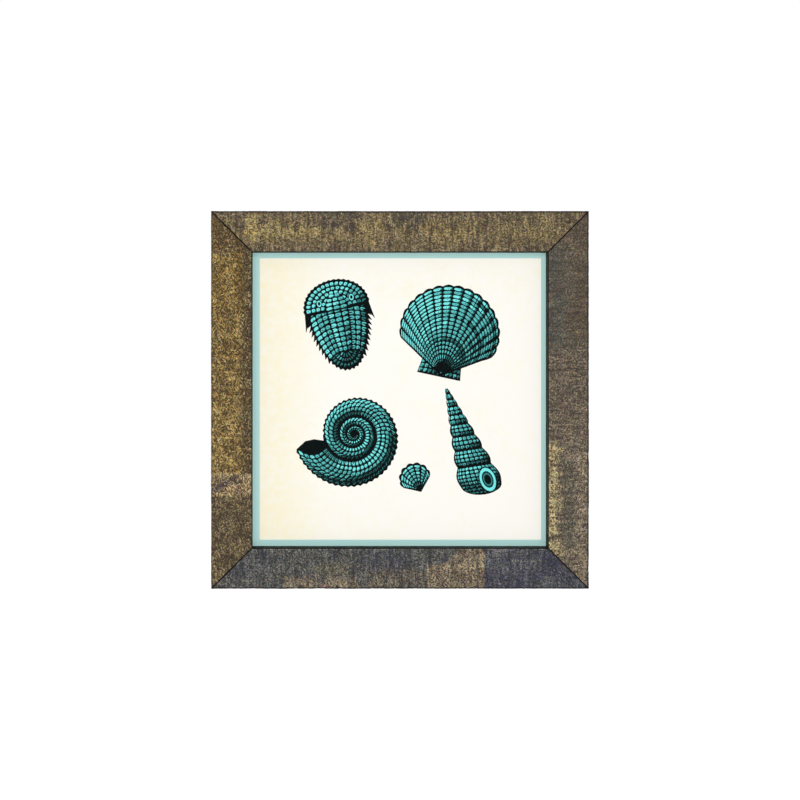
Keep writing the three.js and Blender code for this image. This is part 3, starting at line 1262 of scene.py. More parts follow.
class Engraving:
    """Regions of ink in painter's order, with the engraver's ways of filling them.

    Tones run from 0 in shade to 1 in light, and lengths are in millimetres.
    """

    LIGHT_FROM = (-0.62, 0.78)
    LIGHT_TONE = 0.74
    TEAL_TONE = 0.4
    SMALLEST_AREA = 0.02
    BEAD_GAP = 0.95
    BEAD_POINTS = 9
    BEAD_SQUARENESS = 0.72
    SHADED_SIZE = 1.9
    DOTTED_SIZE = 2.6
    STROKE = ((0.0, 0.3), (0.35, 0.5), (0.7, 0.34), (1.0, 0.06))

    def __init__(self, seed: int) -> None:
        """Start a blank plate."""
        self.regions: list[Region] = []
        self.random = random.Random(seed)

    def fill(self, outline: Outline, ink: Ink) -> None:
        """Fill an outline, whichever way round it runs.

        Args:
            outline: Its points.
            ink: What it is filled with.
        """
        area = sum(x0 * y1 - x1 * y0 for (x0, y0), (x1, y1) in neighbours(outline)) / 2
        if abs(area) > self.SMALLEST_AREA:
            self.regions.append(Region(tuple(outline if area > 0 else reversed(outline)), ink))

    def facing(self, way: Point2) -> float:
        """Give how far a direction on the plate points at the light, from -1 to 1."""
        return way[0] * self.LIGHT_FROM[0] + way[1] * self.LIGHT_FROM[1]

    def lit(self, normal: Point2) -> float:
        """Give the tone of a slope, a little uneven."""
        return 0.56 + 0.62 * self.facing(normal) + self.random.uniform(-0.1, 0.1)

    def ink(self, tone: float) -> Ink:
        """Give the ink for a tone."""
        if tone > self.LIGHT_TONE:
            return Ink.LIGHT
        return Ink.TEAL if tone > self.TEAL_TONE else Ink.DEEP

    def beads(
        self,
        at: Place2,
        columns: Sequence[float],
        rows: Sequence[float],
        slope: Place2,
        tone: float = 0.0,
    ) -> None:
        """Cover a patch with a grid of rounded beads.

        Args:
            at: Gives a point of the patch on the plate.
            columns: Where beads meet in the patch's first direction.
            rows: Where they meet in its second direction.
            slope: Gives how the patch slopes on the plate, up to 1 long.
            tone: What is added to the light's tone.
        """
        for near, far in pairwise(columns):
            for low, high in pairwise(rows):
                corners = [at(near, low), at(far, low), at(far, high), at(near, high)]
                normal = slope((near + far) / 2, (low + high) / 2)
                self._bead(corners, self.lit(normal) + tone)

    def _bead(self, corners: Outline, tone: float) -> None:
        """Draw a rounded bead in a four-cornered cell.

        Args:
            corners: The cell's corners, in order round it.
            tone: The bead's tone.
        """
        wide, high = math.dist(corners[0], corners[1]), math.dist(corners[1], corners[2])
        size = min(wide, high)
        gap = self.BEAD_GAP * (0.92 + 0.9 * max(0.0, 0.34 - tone))
        if size < gap * 1.35:
            return
        inset = (max(0.2, 1 - gap / wide), max(0.2, 1 - gap / high))
        outline = []
        for way in oval((0.0, 0.0), 1.0, 1.0, self.BEAD_POINTS):
            grow = self.random.uniform(0.9, 1.04)
            place = (
                math.copysign(abs(value) ** self.BEAD_SQUARENESS, value) * reach * grow
                for value, reach in zip(way, inset)
            )
            outline.append(between(corners, *place))
        self.fill(outline, self.ink(tone))
        middle = between(corners, 0.0, 0.0)
        if size > self.SHADED_SIZE:
            self._shade(outline, middle, tone)
        if size > self.DOTTED_SIZE and self.random.random() < 0.8:
            x, y = (value + self.random.uniform(-0.1, 0.1) * size for value in middle)
            dot = oval((x, y), size * 0.13, size * 0.13, 5)
            self.fill(dot, Ink.BLACK if tone < 0.7 else Ink.DEEP)

    def _shade(self, outline: Outline, middle: Point2, tone: float) -> None:
        """Shade a bead's side that faces away from the light.

        Args:
            outline: The bead's outline.
            middle: Its middle.
            tone: Its tone.
        """
        around = sorted(
            (math.atan2(y - middle[1], x - middle[0]), (x, y))
            for x, y in outline
            if self.facing((x - middle[0], y - middle[1])) < -0.15
        )
        if len(around) < 3:
            return
        gaps = [(around[i][0] - around[i - 1][0]) % math.tau for i in range(len(around))]
        start = gaps.index(max(gaps))
        dark = [point for _, point in [*around[start:], *around[:start]]]
        keep = 0.58 if tone > 0.6 else 0.4 if tone > 0.3 else 0.1
        inner = [
            tuple(m + (v - m) * keep for v, m in zip(point, middle)) for point in dark[-2:0:-1]
        ]
        self.fill([*dark, *inner], Ink.DEEP if tone > 0.52 else Ink.BLACK)

    def stroke(self, start: Point2, stop: Point2, width: float) -> None:
        """Cut a stroke from its thick end to its fine end."""
        dx, dy = stop[0] - start[0], stop[1] - start[1]
        length = math.hypot(dx, dy) or 1.0
        left = [(share, half * width / length) for share, half in self.STROKE]
        right = [(share, -reach) for share, reach in reversed(left)]
        outline = [
            (start[0] + dx * share - dy * reach, start[1] + dy * share + dx * reach)
            for share, reach in (*left, *right)
        ]
        self.fill(outline, Ink.BLACK)


@dataclass(frozen=True)
class Motif:
    """One fossil of a plate, turned about its centre."""

    plate: Engraving
    centre: Point2
    turn: float

    def heading(self, x: float, y: float) -> Point2:
        """Give a direction of the fossil on the sheet."""
        return turned(x, y, -self.turn)

    def place(self, x: float, y: float) -> Point2:
        """Give a point of the fossil on the sheet."""
        dx, dy = self.heading(x, y)
        return (self.centre[0] + dx, self.centre[1] + dy)

    def lay(self, outline: Iterable[Point2], ink: Ink) -> None:
        """Fill an outline that is given in the fossil's own places."""
        self.plate.fill([self.place(x, y) for x, y in outline], ink)

    def draw(self) -> None:
        """Engrave the fossil."""
        raise NotImplementedError


@dataclass(frozen=True)
class Ammonite(Motif):
    """A coiled ammonite with beaded ribs. Turns count from its mouth inwards."""

    radius: float
    turns: float = 3.4
    rate: float = 2.05
    pitch: float = 5.3
    row: float = 5.0
    spike: float = 1.5
    least_hatched: float = 5.0

    def draw(self) -> None:
        """Engrave the fossil."""
        ribs = [0.0]
        while ribs[-1] < self.turns:
            radius = self._outer(ribs[-1]) * 0.8
            pitch = max(2.3, self.pitch * (radius / self.radius / 0.8) ** 0.35)
            ribs.append(ribs[-1] + pitch / (math.tau * radius))
        self._silhouette(ribs)
        for near, far in pairwise(ribs):
            rows = max(2, round((self._outer(near) - self._outer(near + 1)) / self.row))
            edges = [0.05 + 0.95 * share**0.92 for share in spread(0, 1, rows)]
            self.plate.beads(self._at, (near, far), edges, self._slope, 0.06)
        self._seams(ribs)

    def _outer(self, turn: float) -> float:
        """Give the coil's outer radius after some turns."""
        return self.radius * self.rate ** (-turn)

    def _polar(self, radius: float, turn: float) -> Point2:
        """Give a point by its distance from the coil's middle and its turns."""
        return self.place(*polar(radius, math.tau * turn))

    def _at(self, turn: float, share: float) -> Point2:
        """Give a point of the coil, by turns and share of the way from inner to outer edge."""
        inner = self._outer(turn + 1)
        lean = 0.022 * math.sin(math.pi * share) - 0.03 * share
        return self._polar(inner + (self._outer(turn) - inner) * share, turn + lean)

    def _slope(self, turn: float, share: float) -> Point2:
        """Give how the coil slopes at one of its points."""
        tilt = math.sin((2 * share - 1) * 1.35)
        return self.heading(*polar(tilt, math.tau * turn))

    def _silhouette(self, ribs: Sequence[float]) -> None:
        """Lay down the coil's black shape with a spine at each rib.

        Args:
            ribs: The turns at which ribs meet.
        """
        outline: list[Point2] = []
        for near, far in pairwise([turn for turn in ribs if turn < 1.0]):
            for turn, lift in ((near, 0.5), ((near + far) / 2, 0.5 + self.spike)):
                outline.append(self._polar(self._outer(turn) + lift, turn - 0.03))
        inner = self._outer(1.0)
        for share in (0.9, 0.6, 0.3):
            radius = inner + (self.radius - inner) * (1 - share) - 0.6
            outline.append(self._polar(radius, -0.032 - 0.02 * math.sin(math.pi * share)))
        self.plate.fill(outline, Ink.BLACK)

    def _seams(self, ribs: Sequence[float]) -> None:
        """Hatch the hollow between the turns of the coil.

        Args:
            ribs: The turns at which ribs meet.
        """
        for near, far in pairwise(ribs):
            middle = (near + far) / 2
            if self._outer(middle) - self._outer(middle + 1) < self.least_hatched:
                break
            shade = self.plate.facing(self._slope(middle, 1.0))
            reach = 0.22 + 0.2 * shade + self.plate.random.uniform(0, 0.1)
            self.plate.stroke(self._at(middle, 0.0), self._at(middle, reach), 1.15)
            if shade < 0.1:
                outer = 0.84 + 0.22 * shade
                self.plate.stroke(self._at(middle, 1.0), self._at(middle, outer), 1.2)
                self.plate.stroke(self._at(near, 1.0), self._at(near, outer - 0.08), 0.9)


@dataclass(frozen=True)
class Scallop(Motif):
    """A fan shell with beaded ribs, its beak down. Angles run from straight up."""

    height: float
    ribs: int = 19
    rows: int = 19
    half_angle: float = math.radians(60)
    beak_share: float = 0.16
    ears: bool = True

    def draw(self) -> None:
        """Engrave the fossil."""
        if self.ears:
            self._draw_ears()
        angles = spread(-self.half_angle, self.half_angle, self.ribs)
        outline = [self.place(0.0, -self.height / 2 - 2.5)]
        for low, high in pairwise(angles):
            for share, lift in ((0.0, 0.4), (0.25, 1.6), (0.5, 2.1), (0.75, 1.6)):
                outline.append(self._at(low + (high - low) * share, 1.0, lift))
        self.plate.fill([*outline, self._at(self.half_angle, 1.0, 0.4)], Ink.BLACK)
        shares = [0.17 + 0.83 * share**0.92 for share in spread(0, 1, self.rows)]
        for row, pair in enumerate(pairwise(shares)):
            self.plate.beads(self._at, angles, pair, self._slope, -0.14 if row % 6 == 4 else 0.08)
        self._beak()
        for low, high in pairwise(angles):
            shade = self.plate.facing(self.heading(math.sin(low), 0.2))
            self.plate.stroke(self._at(high, 0.02), self._at(high, 0.45 - 0.3 * shade), 1.5)
            if shade < 0.0:
                middle = (low + high) / 2
                self.plate.stroke(self._at(high, 1.0), self._at(high, 0.72), 1.5)
                self.plate.stroke(self._at(middle, 1.02), self._at(middle, 0.82), 1.1)

    def _at(self, angle: float, share: float, lift: float = 0.0) -> Point2:
        """Give a point of the fan, by angle, share of the way to the margin, and lift beyond."""
        reach = self.height * math.cos(angle) ** 0.72 * share + lift
        return self.place(reach * math.sin(angle), reach * math.cos(angle) - self.height / 2)

    def _slope(self, angle: float, share: float) -> Point2:
        """Give how the fan slopes at one of its points."""
        return self.heading(math.sin(angle) * 1.1 * share, (share - 0.55) * 1.5)

    def _beak(self) -> None:
        """Engrave the smooth beak with its growth lines."""
        near = 1.3 / self.height
        while near < self.beak_share:
            far = near + 2.1 / self.height
            count = max(2, round(near * self.height * 2 * self.half_angle / 2.6))
            edges = spread(-self.half_angle * 0.94, self.half_angle * 0.94, count)
            for low, high in pairwise(edges):
                ease = (high - low) * 0.08
                left, right = low + ease, high - ease
                cell = ((left, near), (right, near), (right, far), (left, far))
                tone = self.plate.lit(self.heading(math.sin((low + high) / 2), -0.1)) - 0.08
                self.plate.fill([self._at(*corner) for corner in cell], self.plate.ink(tone))
            near = far + 0.75 / self.height

    def _draw_ears(self) -> None:
        """Engrave the two ears beside the beak."""
        base, rise = -self.height / 2, self.height * 0.2
        for side in (-1, 1):
            reach = side * self.height * (0.25 - 0.02 * side)
            low, high = base - 3.2, base + rise
            shape = [(0, low), (reach, low), (reach * 0.86, high), (0, high + rise * 0.3)]
            placed = [self.place(x, y) for x, y in shape]
            self.plate.fill(placed, Ink.BLACK)
            slope = partial(self._ear_slope, side)
            at = partial(between, placed)
            self.plate.beads(at, spread(-1, 1, 5), spread(-0.9, 0.9, 4), slope)

    def _ear_slope(self, side: int, p: float, q: float) -> Point2:
        """Give how an ear slopes, on the left, -1, or the right, 1, at a place of its cell."""
        return self.heading(0.35 * p * side, 0.4 * q - 0.1)


@dataclass(frozen=True)
class TurretShell(Motif):
    """A tall spired shell with beaded whorls, its tip up. Angles run round it from the front."""

    length: float
    width: float
    whorls: int = 9
    shrink: float = 0.845

    MOUTH = (
        (1.34, Ink.BLACK), (1.2, Ink.LIGHT), (0.86, Ink.BLACK), (0.7, Ink.DEEP), (0.5, Ink.BLACK),
    )

    def draw(self) -> None:
        """Engrave the fossil."""
        heights = [self.shrink**i for i in range(self.whorls)]
        seams = [-self.length / 2]
        for height in heights:
            seams.append(seams[-1] + height * self.length / sum(heights))
        self._foot(seams[0])
        for low, high in reversed(list(pairwise(seams))):
            self._band(low, high)
        tall = seams[1] - seams[0]
        centre = (self.width * 0.19, seams[0] + tall * 0.12)
        for grow, ink in self.MOUTH:
            self.lay(oval(centre, tall * 0.32 * grow, tall * 0.5 * grow, 18), ink)

    def _half(self, y: float) -> float:
        """Give the spire's half width at a height."""
        share = (y + self.length / 2) / self.length
        return self.width / 2 * (1 - share) ** 0.92 + 1.3

    def _band(self, low: float, high: float) -> None:
        """Engrave one whorl.

        Args:
            low: Its lower seam.
            high: Its upper seam.
        """

        def at(around: float, share: float, more: float = 0.0) -> Point2:
            """Give a point by angle and share of the whorl's height, swollen by a little more."""
            y = low + (high - low) * share
            half = self._half(y) * (0.9 + 0.14 * (math.sin(math.pi * share) + more))
            return self.place(half * math.sin(around), y - half * 0.2 * math.sin(around))

        def slope(around: float, share: float) -> Point2:
            """Give how the whorl slopes there."""
            return self.heading(math.sin(around), 0.9 * share - 0.45)

        right, left = (
            [at(edge, share, 0.12) for share in spread(0, 1, 8)] for edge in (QUARTER, -QUARTER)
        )
        self.plate.fill([*right, *reversed(left)], Ink.BLACK)
        rows = spread(0.04, 0.96, max(1, round((high - low) / 4.4)))
        count = max(3, round(self._half((low + high) / 2) * math.pi / 5.0))
        turns = spread(-QUARTER, QUARTER, count)
        self.plate.beads(at, turns, rows, slope)
        for start, stop in pairwise(turns):
            around = (start + stop) / 2
            shade = self.plate.facing(self.heading(math.sin(around), 0.0))
            self.plate.stroke(at(around, 0.0, 0.1), at(around, 0.4 - 0.25 * shade), 0.95)

    def _foot(self, low: float) -> None:
        """Engrave the rounded underside of the lowest whorl, below its lower seam."""
        half, drop = self._half(low) * 0.92, self.width * 0.26

        def at(around: float, share: float) -> Point2:
            """Give a point by angle and share of the underside's depth."""
            x = half * math.sqrt(max(0.0, 1 - share * share)) * math.sin(around)
            return self.place(x, low - drop * share - x * 0.2)

        def slope(around: float, share: float) -> Point2:
            """Give how the underside slopes there."""
            return self.heading(math.sin(around), -0.6 - 0.4 * share)

        shares = (0.0, 0.3, 0.55, 0.75, 0.9, 0.97, 1.0)
        left, right = ([at(edge, share) for share in shares] for edge in (-QUARTER, QUARTER))
        self.plate.fill([*left[:-1], *reversed(right)], Ink.BLACK)
        self.plate.beads(at, spread(-QUARTER, QUARTER, 10), (-0.12, 0.26, 0.6, 0.9), slope)


@dataclass(frozen=True)
class Trilobite(Motif):
    """A trilobite, its head up."""

    length: float
    width: float
    segments: int = 9

    LOBE = 0.36
    SEGMENT = (-1.0, -0.7, -LOBE, 0.0, LOBE, 0.7, 1.0)
    BEADS = (-1.0, -0.79, -0.58, -0.37, -0.125, 0.125, 0.37, 0.58, 0.79, 1.0)
    FURROWS = ((-LOBE, 0.07), (LOBE, 0.16), (1.02, -0.2))
    EYE = ((4.4, Ink.BLACK), (3.4, Ink.LIGHT), (1.9, Ink.BLACK))

    def draw(self) -> None:
        """Engrave the fossil."""
        self._tail()
        self._thorax()
        self._head()

    def _segment_at(self, across: float, share: float) -> Point2:
        """Give a point of the thorax.

        Args:
            across: The place across the body, from -1 to 1.
            share: The place from the head's base, 0, to the tail, 1.

        Returns:
            The point on the sheet.
        """
        half = self.width / 2 * (0.98 - 0.08 * share - 0.32 * share * share)
        droop = max(0.0, abs(across) - self.LOBE) ** 1.7 * self.width * 0.22
        return self.place(across * half, self.length * (0.2 - 0.5 * share) - droop)

    def _segment_slope(self, across: float, share: float) -> Point2:
        """Give how the thorax slopes there: a raised middle lobe between two side lobes."""
        if abs(across) < self.LOBE:
            tilt = 2.2 * across
        else:
            tilt = 1.9 * (across - math.copysign(0.5, across))
        return self.heading(max(-1.0, min(1.0, tilt)), 0.1)

    def _thorax(self) -> None:
        """Engrave the segments between the head and the tail."""
        edges = [i / self.segments for i in range(-2, self.segments + 1)]
        for start, stop in pairwise(edges):
            upper = [(across, start - 0.01) for across in self.SEGMENT]
            lower = [(across, stop + 0.02) for across in (1.16, *reversed(self.SEGMENT), -1.16)]
            self.plate.fill([self._segment_at(*spot) for spot in [*upper, *lower]], Ink.BLACK)
        self.plate.beads(self._segment_at, self.BEADS, edges, self._segment_slope)
        for start, stop in pairwise(edges):
            middle = (start + stop) / 2
            for across, reach in self.FURROWS:
                thick = self._segment_at(across, middle)
                self.plate.stroke(thick, self._segment_at(across + reach, middle), 1.5)

    def _head(self) -> None:
        """Engrave the head shield with its raised middle and its eyes."""
        base, half, reach = self.length * 0.19, self.width / 2, self.length * 0.31

        def at(angle: float, share: float) -> Point2:
            """Give a point of the shield, by angle from the right and share of its radius."""
            rise = reach * share * max(0.0, math.sin(angle)) ** 0.9
            return self.place(half * 1.06 * share * math.cos(angle), base + rise)

        def slope(angle: float, share: float) -> Point2:
            """Give how the shield slopes there."""
            return self.heading(*polar(share + 0.08, angle))

        angles = spread(0, math.pi, 40)
        rim = [at(angle, 1.085 if i % 2 else 1.05) for i, angle in enumerate(angles)]
        tip, root = base - self.length * 0.2, base - 2
        spines = ((-1.2, tip), (-0.9, root), (0.9, root), (1.2, tip))
        self.plate.fill([*rim, *(self.place(half * x, y) for x, y in spines)], Ink.BLACK)
        for ring in pairwise((0.38, 0.53, 0.68, 0.83, 1.0)):
            count = round(math.pi * half * sum(ring) / 2 / 4.6)
            self.plate.beads(at, spread(0, math.pi, count), ring, slope)
        nose = oval((0.0, base - 1.5), half * 0.4, reach * 0.62, 24)[:13]
        self.lay(nose, Ink.BLACK)
        for row, heights in enumerate(pairwise(spread(base - 1, base - 1 + reach * 0.6, 4))):
            wide = half * 0.37 * (1 - 0.05 * row * row)
            edges = spread(-wide, wide, 3 if row < 3 else 2)
            self.plate.beads(self.place, edges, heights, self._nose_slope)
        for side in (-1, 1):
            for radius, ink in self.EYE:
                centre = (side * half * 0.56, base + reach * 0.3)
                self.lay(oval(centre, radius * 0.72, radius, 12), ink)

    def _nose_slope(self, x: float, y: float) -> Point2:
        """Give how the head's raised middle slopes."""
        return self.heading(x / self.width * 3.6, 0.3)

    def _tail(self) -> None:
        """Engrave the tail shield."""
        base, half, reach = 2 - self.length * 0.3, self.width * 0.2958, self.length * 0.22

        def at(angle: float, share: float) -> Point2:
            """Give a point of the shield, by angle from straight down and share of its radius."""
            x, y = half * share * math.sin(angle), reach * share * math.cos(angle)
            return self.place(x, base - y)

        def slope(angle: float, share: float) -> Point2:
            """Give how the shield slopes there."""
            tilt = share + 0.13
            return self.heading(math.sin(angle) * tilt, -math.cos(angle) * tilt)

        angles = spread(-QUARTER, QUARTER, 26)
        rim = [at(angle, 1.14 if i % 2 else 1.05) for i, angle in enumerate(angles)]
        self.plate.fill(rim, Ink.BLACK)
        for ring, count in (((0.2, 0.47), 7), ((0.47, 0.73), 13), ((0.73, 1.0), 13)):
            self.plate.beads(at, spread(-QUARTER, QUARTER, count), ring, slope)


@dataclass(frozen=True)
class FossilPlate:
    """The printed plate: a cream field in a blue border, with fossils engraved on it."""

    sheet: float = 304.8
    field_side: float = 287.2
    field_centre: Point2 = (1.3, 0.3)
    seed: int = 5

    @staticmethod
    def motifs(plate: Engraving) -> list[Motif]:
        """Give the fossils, in painter's order."""
        return [
            Ammonite(plate, (-46.0, -36.0), 205.0, radius=60.0),
            Scallop(plate, (52.0, 70.0), -12.0, height=90.0, ribs=17, rows=18),
            TurretShell(plate, (66.0, -38.0), 20.0, length=104.0, width=42.0),
            Trilobite(plate, (-60.0, 76.0), 12.0, length=90.0, width=60.0),
            Scallop(plate, (16.0, -80.0), 24.0, height=27.0, ribs=7, rows=6, ears=False),
        ]

    def regions(self) -> list[Region]:
        """Give the whole plate's regions, in painter's order."""
        plate = Engraving(self.seed)
        border = (self.sheet, (0.0, 0.0), Ink.BORDER)
        for side, (x, y), ink in (border, (self.field_side, self.field_centre, Ink.PAPER)):
            plate.fill([(x + i * side / 2, y + j * side / 2) for i, j in CORNERS], ink)
        for motif in self.motifs(plate):
            motif.draw()
        return plate.regions


# --- What the rails hold ---


@dataclass
class PrintedSheet:
    """The printed sheet: one flat body whose face is divided along the inks' outlines."""

    space: FrameSpace
    plate: FossilPlate = field(default_factory=FossilPlate)
    merge_mm: float = 0.002

    # The share of the bake map that the face takes, and where its back and edges go beside it.
    FACE_SHARE = 0.95
    FACE_MIDDLE = 0.478
    SPARE_COLUMN = (0.965, 0.995)
    SPARE_ROWS = ((0.02, 0.3), (0.32, 0.45), (0.47, 0.6), (0.62, 0.75), (0.77, 0.9))

    def build(self) -> None:
        """Build and dress the sheet."""
        low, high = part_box("art_print")
        flat, triangles, slots = self._divided(self.plate.regions())
        front = [
            max(range(len(flat)), key=lambda i: flat[i][0] * x + flat[i][1] * z) for x, z in CORNERS
        ]
        behind = [len(flat) + i for i in range(4)]
        points = [self._placed(point, low.y) for point in flat]
        points += [self._placed(flat[corner], high.y) for corner in front]
        sides = [[front[i - 1], behind[i - 1], behind[i], front[i]] for i in range(4)]
        faces = [*triangles, behind[::-1], *sides]
        slots += [Ink.PAPER.value] * 5
        piece = mesh_object("printed_sheet", points, faces, self._materials(), slots)
        self._unwrap(piece, flat, triangles)
        settle(piece, "print_paper", "art_print")

    def _divided(
        self, regions: Sequence[Region]
    ) -> tuple[list[Point2], list[list[int]], list[int]]:
        """Divide the sheet's face along the outlines of its inks.

        Args:
            regions: The regions, in painter's order.

        Returns:
            The points, the triangles, and each triangle's topmost ink.
        """
        points: list[Vector] = []
        outlines: list[list[int]] = []
        for region in regions:
            outlines.append(list(range(len(points), len(points) + len(region.outline))))
            points += map(Vector, region.outline)
        inside, with_sources = 1, True
        flat, _, triangles, _, _, sources = delaunay_2d_cdt(
            points, [], outlines, inside, self.merge_mm, with_sources
        )
        slots = []
        for triangle, source in zip(triangles, sources):
            middle = sum((flat[i] for i in triangle), Vector((0.0, 0.0))) / 3
            laid = (regions[i] for i in sorted(source, reverse=True))
            slots.append(next(region.ink.value for region in laid if region.holds(*middle)))
        return [tuple(point) for point in flat], [list(face) for face in triangles], slots

    def _placed(self, point: Point2, y: float) -> tuple[float, float, float]:
        """Place a point of the sheet in the frame."""
        return (point[0] * MM, y, point[1] * MM + self.space.middle_z)

    def _materials(self) -> list[Material]:
        """Give the inks' materials, by slot."""
        inks = (
            # border_blue is lighter than the printed blue: painted light that makes up for the
            # shade the lip casts over the border.
            ("border_blue", srgb(181, 221, 218), 0.008),
            ("teal_light", srgb(124, 234, 232), 0.05),
            ("teal_mid", srgb(94, 192, 191), 0.07),
            ("teal_deep", srgb(51, 119, 118), 0.1),
            ("engraver_black", srgb(9, 17, 18), 0.2),
        )
        return [SheetPaper(self.space).material(), *(PrintedInk(*ink).material() for ink in inks)]

    def _unwrap(self, piece: Piece, flat: Outline, triangles: Sequence[Sequence[int]]) -> None:
        """Lay the sheet out for baking: its face, with its back and edges in a strip beside it.

        Args:
            piece: The sheet.
            flat: The face's points.
            triangles: The face's triangles.
        """
        face = np.array(flat)[np.array(triangles).ravel()] / self.plate.sheet
        face = face * self.FACE_SHARE + self.FACE_MIDDLE
        left, right = self.SPARE_COLUMN
        strip = [
            point
            for low, high in self.SPARE_ROWS
            for point in ((left, low), (right, low), (right, high), (left, high))
        ]
        layer = piece.data.uv_layers.new(name="OFBake")
        layer.data.foreach_set("uv", np.concatenate([face, np.array(strip)]).ravel())


def dress(nodes: Iterable[str], material: Material, eased_mm: float) -> None:
    """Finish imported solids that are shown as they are, with eased edges.

    Args:
        nodes: Their names.
        material: Their finish.
        eased_mm: The width of the eased edges.
    """
    for node in nodes:
        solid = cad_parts[node]
        solid.data.materials.clear()
        solid.data.materials.append(material)
        solid.modifiers.new("weld", "WELD").merge_threshold = WELD_MM * MM
        eased = solid.modifiers.new("eased_edges", "BEVEL")
        eased.width, eased.segments = eased_mm * MM, 2
        eased.limit_method, eased.angle_limit = "ANGLE", math.radians(EASED_DEGREES)
        LOG.info("%s: dressed", node)


@dataclass
class GlassAndBack:
    """The pane in front of the sheet and the board behind it."""

    def build(self) -> None:
        """Dress the pane and the board."""
        dress(["glazing"], PictureGlass().material(), 0.2)
        dress(["backing_board"], Hardboard().material(), 0.25)


@dataclass(frozen=True)
class Turning:
    """A round piece, given by points of its outline as (radius, distance from its outer end).

    The first and the last point lie on the axis.
    """

    outline: tuple[Point2, ...]
    segments: int = 40
    smooth_degrees: float = 40.0

    def build(self, node: str, suffix: str, material: Material, slot: str) -> None:
        """Turn the piece about a line along Y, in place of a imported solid.

        Args:
            node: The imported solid.
            suffix: What its name is followed by in the piece's.
            material: Its finish.
            slot: The record's material slot.
        """
        low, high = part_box(node)
        end = Vector(((low.x + high.x) / 2, high.y, (low.z + high.z) / 2))
        (_, outer), *middle, (_, inner) = self.outline
        turns = [-math.tau * i / self.segments for i in range(self.segments)]
        offsets = [
            (r * math.cos(turn), -back, r * math.sin(turn)) for r, back in middle for turn in turns
        ]
        points = [end + Vector(way) * MM for way in ((0, -outer, 0), *offsets, (0, -inner, 0))]
        last = len(points) - 1
        faces = rings(len(middle), self.segments, 1)
        for i in range(self.segments):
            j = (i + 1) % self.segments
            faces += [[0, 1 + i, 1 + j], [last - self.segments + j, last - self.segments + i, last]]
        name = f"{node}_{suffix}"
        piece = mesh_object(name, points, faces, [material], smooth=self.smooth_degrees)
        settle(piece, slot, node)


@dataclass
class Hardware:
    """The steel, brass and rubber at the back."""

    nail_head: tuple[Point2, ...] = (
        (0.0, 0.0), (0.55, 0.03), (1.05, 0.12), (1.45, 0.28), (1.72, 0.48), (1.86, 0.68),
        (1.88, 0.84), (1.8, 0.9), (0.72, 0.9), (0.7, 1.0),
    )
    bumper_dome: tuple[Point2, ...] = (
        (0.0, 0.0), (1.9, 0.0), (2.4, 0.05), (2.95, 0.2), (3.5, 0.5), (3.95, 0.9), (4.3, 1.4),
        (4.55, 1.95), (4.7, 2.4), (4.78, 2.85), (4.72, 3.12), (4.6, 3.2), (0.0, 3.2),
    )
    shank: float = 0.7
    steel: WorkedSteel = WorkedSteel("spring_steel", srgb(150, 153, 156), srgb(92, 94, 97), 0.34)
    brass: WorkedSteel = WorkedSteel("brassed_steel", srgb(212, 178, 104), srgb(160, 126, 70), 0.3)

    def build(self) -> None:
        """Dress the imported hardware, and turn the nails and bumpers."""
        steel, brass = (finish.material() for finish in (self.steel, self.brass))
        rubber = BlackRubber().material()
        dress([f"point_{side.name.lower()}_{i}" for side in Side for i in (1, 2)], steel, 0.12)
        corners = [f"{level}_{hand}" for level in ("top", "bottom") for hand in ("left", "right")]
        dress([f"v_nail_{corner}_{i}" for corner in corners for i in (1, 2)], steel, 0.08)
        dress(["sawtooth_hanger"], brass, 0.12)
        for hand in ("left", "right"):
            nail = f"hanger_nail_{hand}"
            self._nail(nail).build(nail, "turned", brass, "brassed_steel")
            Turning(self.bumper_dome).build(f"bumper_{hand}", "moulded", rubber, "black_rubber")

    def _nail(self, node: str) -> Turning:
        """Give a round-headed nail as long as a packed one."""
        low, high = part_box(node)
        length = (high.y - low.y) / MM
        shank = ((self.shank, length - 2.0), (0.06, length - 0.02), (0.0, length))
        return Turning((*self.nail_head, *shank))


# --- Studio ---


@dataclass(frozen=True)
class Softbox:
    """A square soft light that faces the print, placed from the frame's middle in metres."""

    name: str
    place: tuple[float, float, float]
    size: float
    power: float
    mirrored: bool = True

    def build(self, middle: Vector) -> None:
        """Hang the light, unseen by the camera, so that it faces the frame's middle."""
        data = bpy.data.lights.new(self.name, "AREA")
        data.shape, data.size, data.energy = "SQUARE", self.size, self.power
        light = bpy.data.objects.new(self.name, data)
        light.location = middle + Vector(self.place)
        light.rotation_euler = (middle - light.location).to_track_quat("-Z", "Y").to_euler()
        light.visible_camera, light.visible_glossy = False, self.mirrored
        bpy.context.scene.collection.objects.link(light)


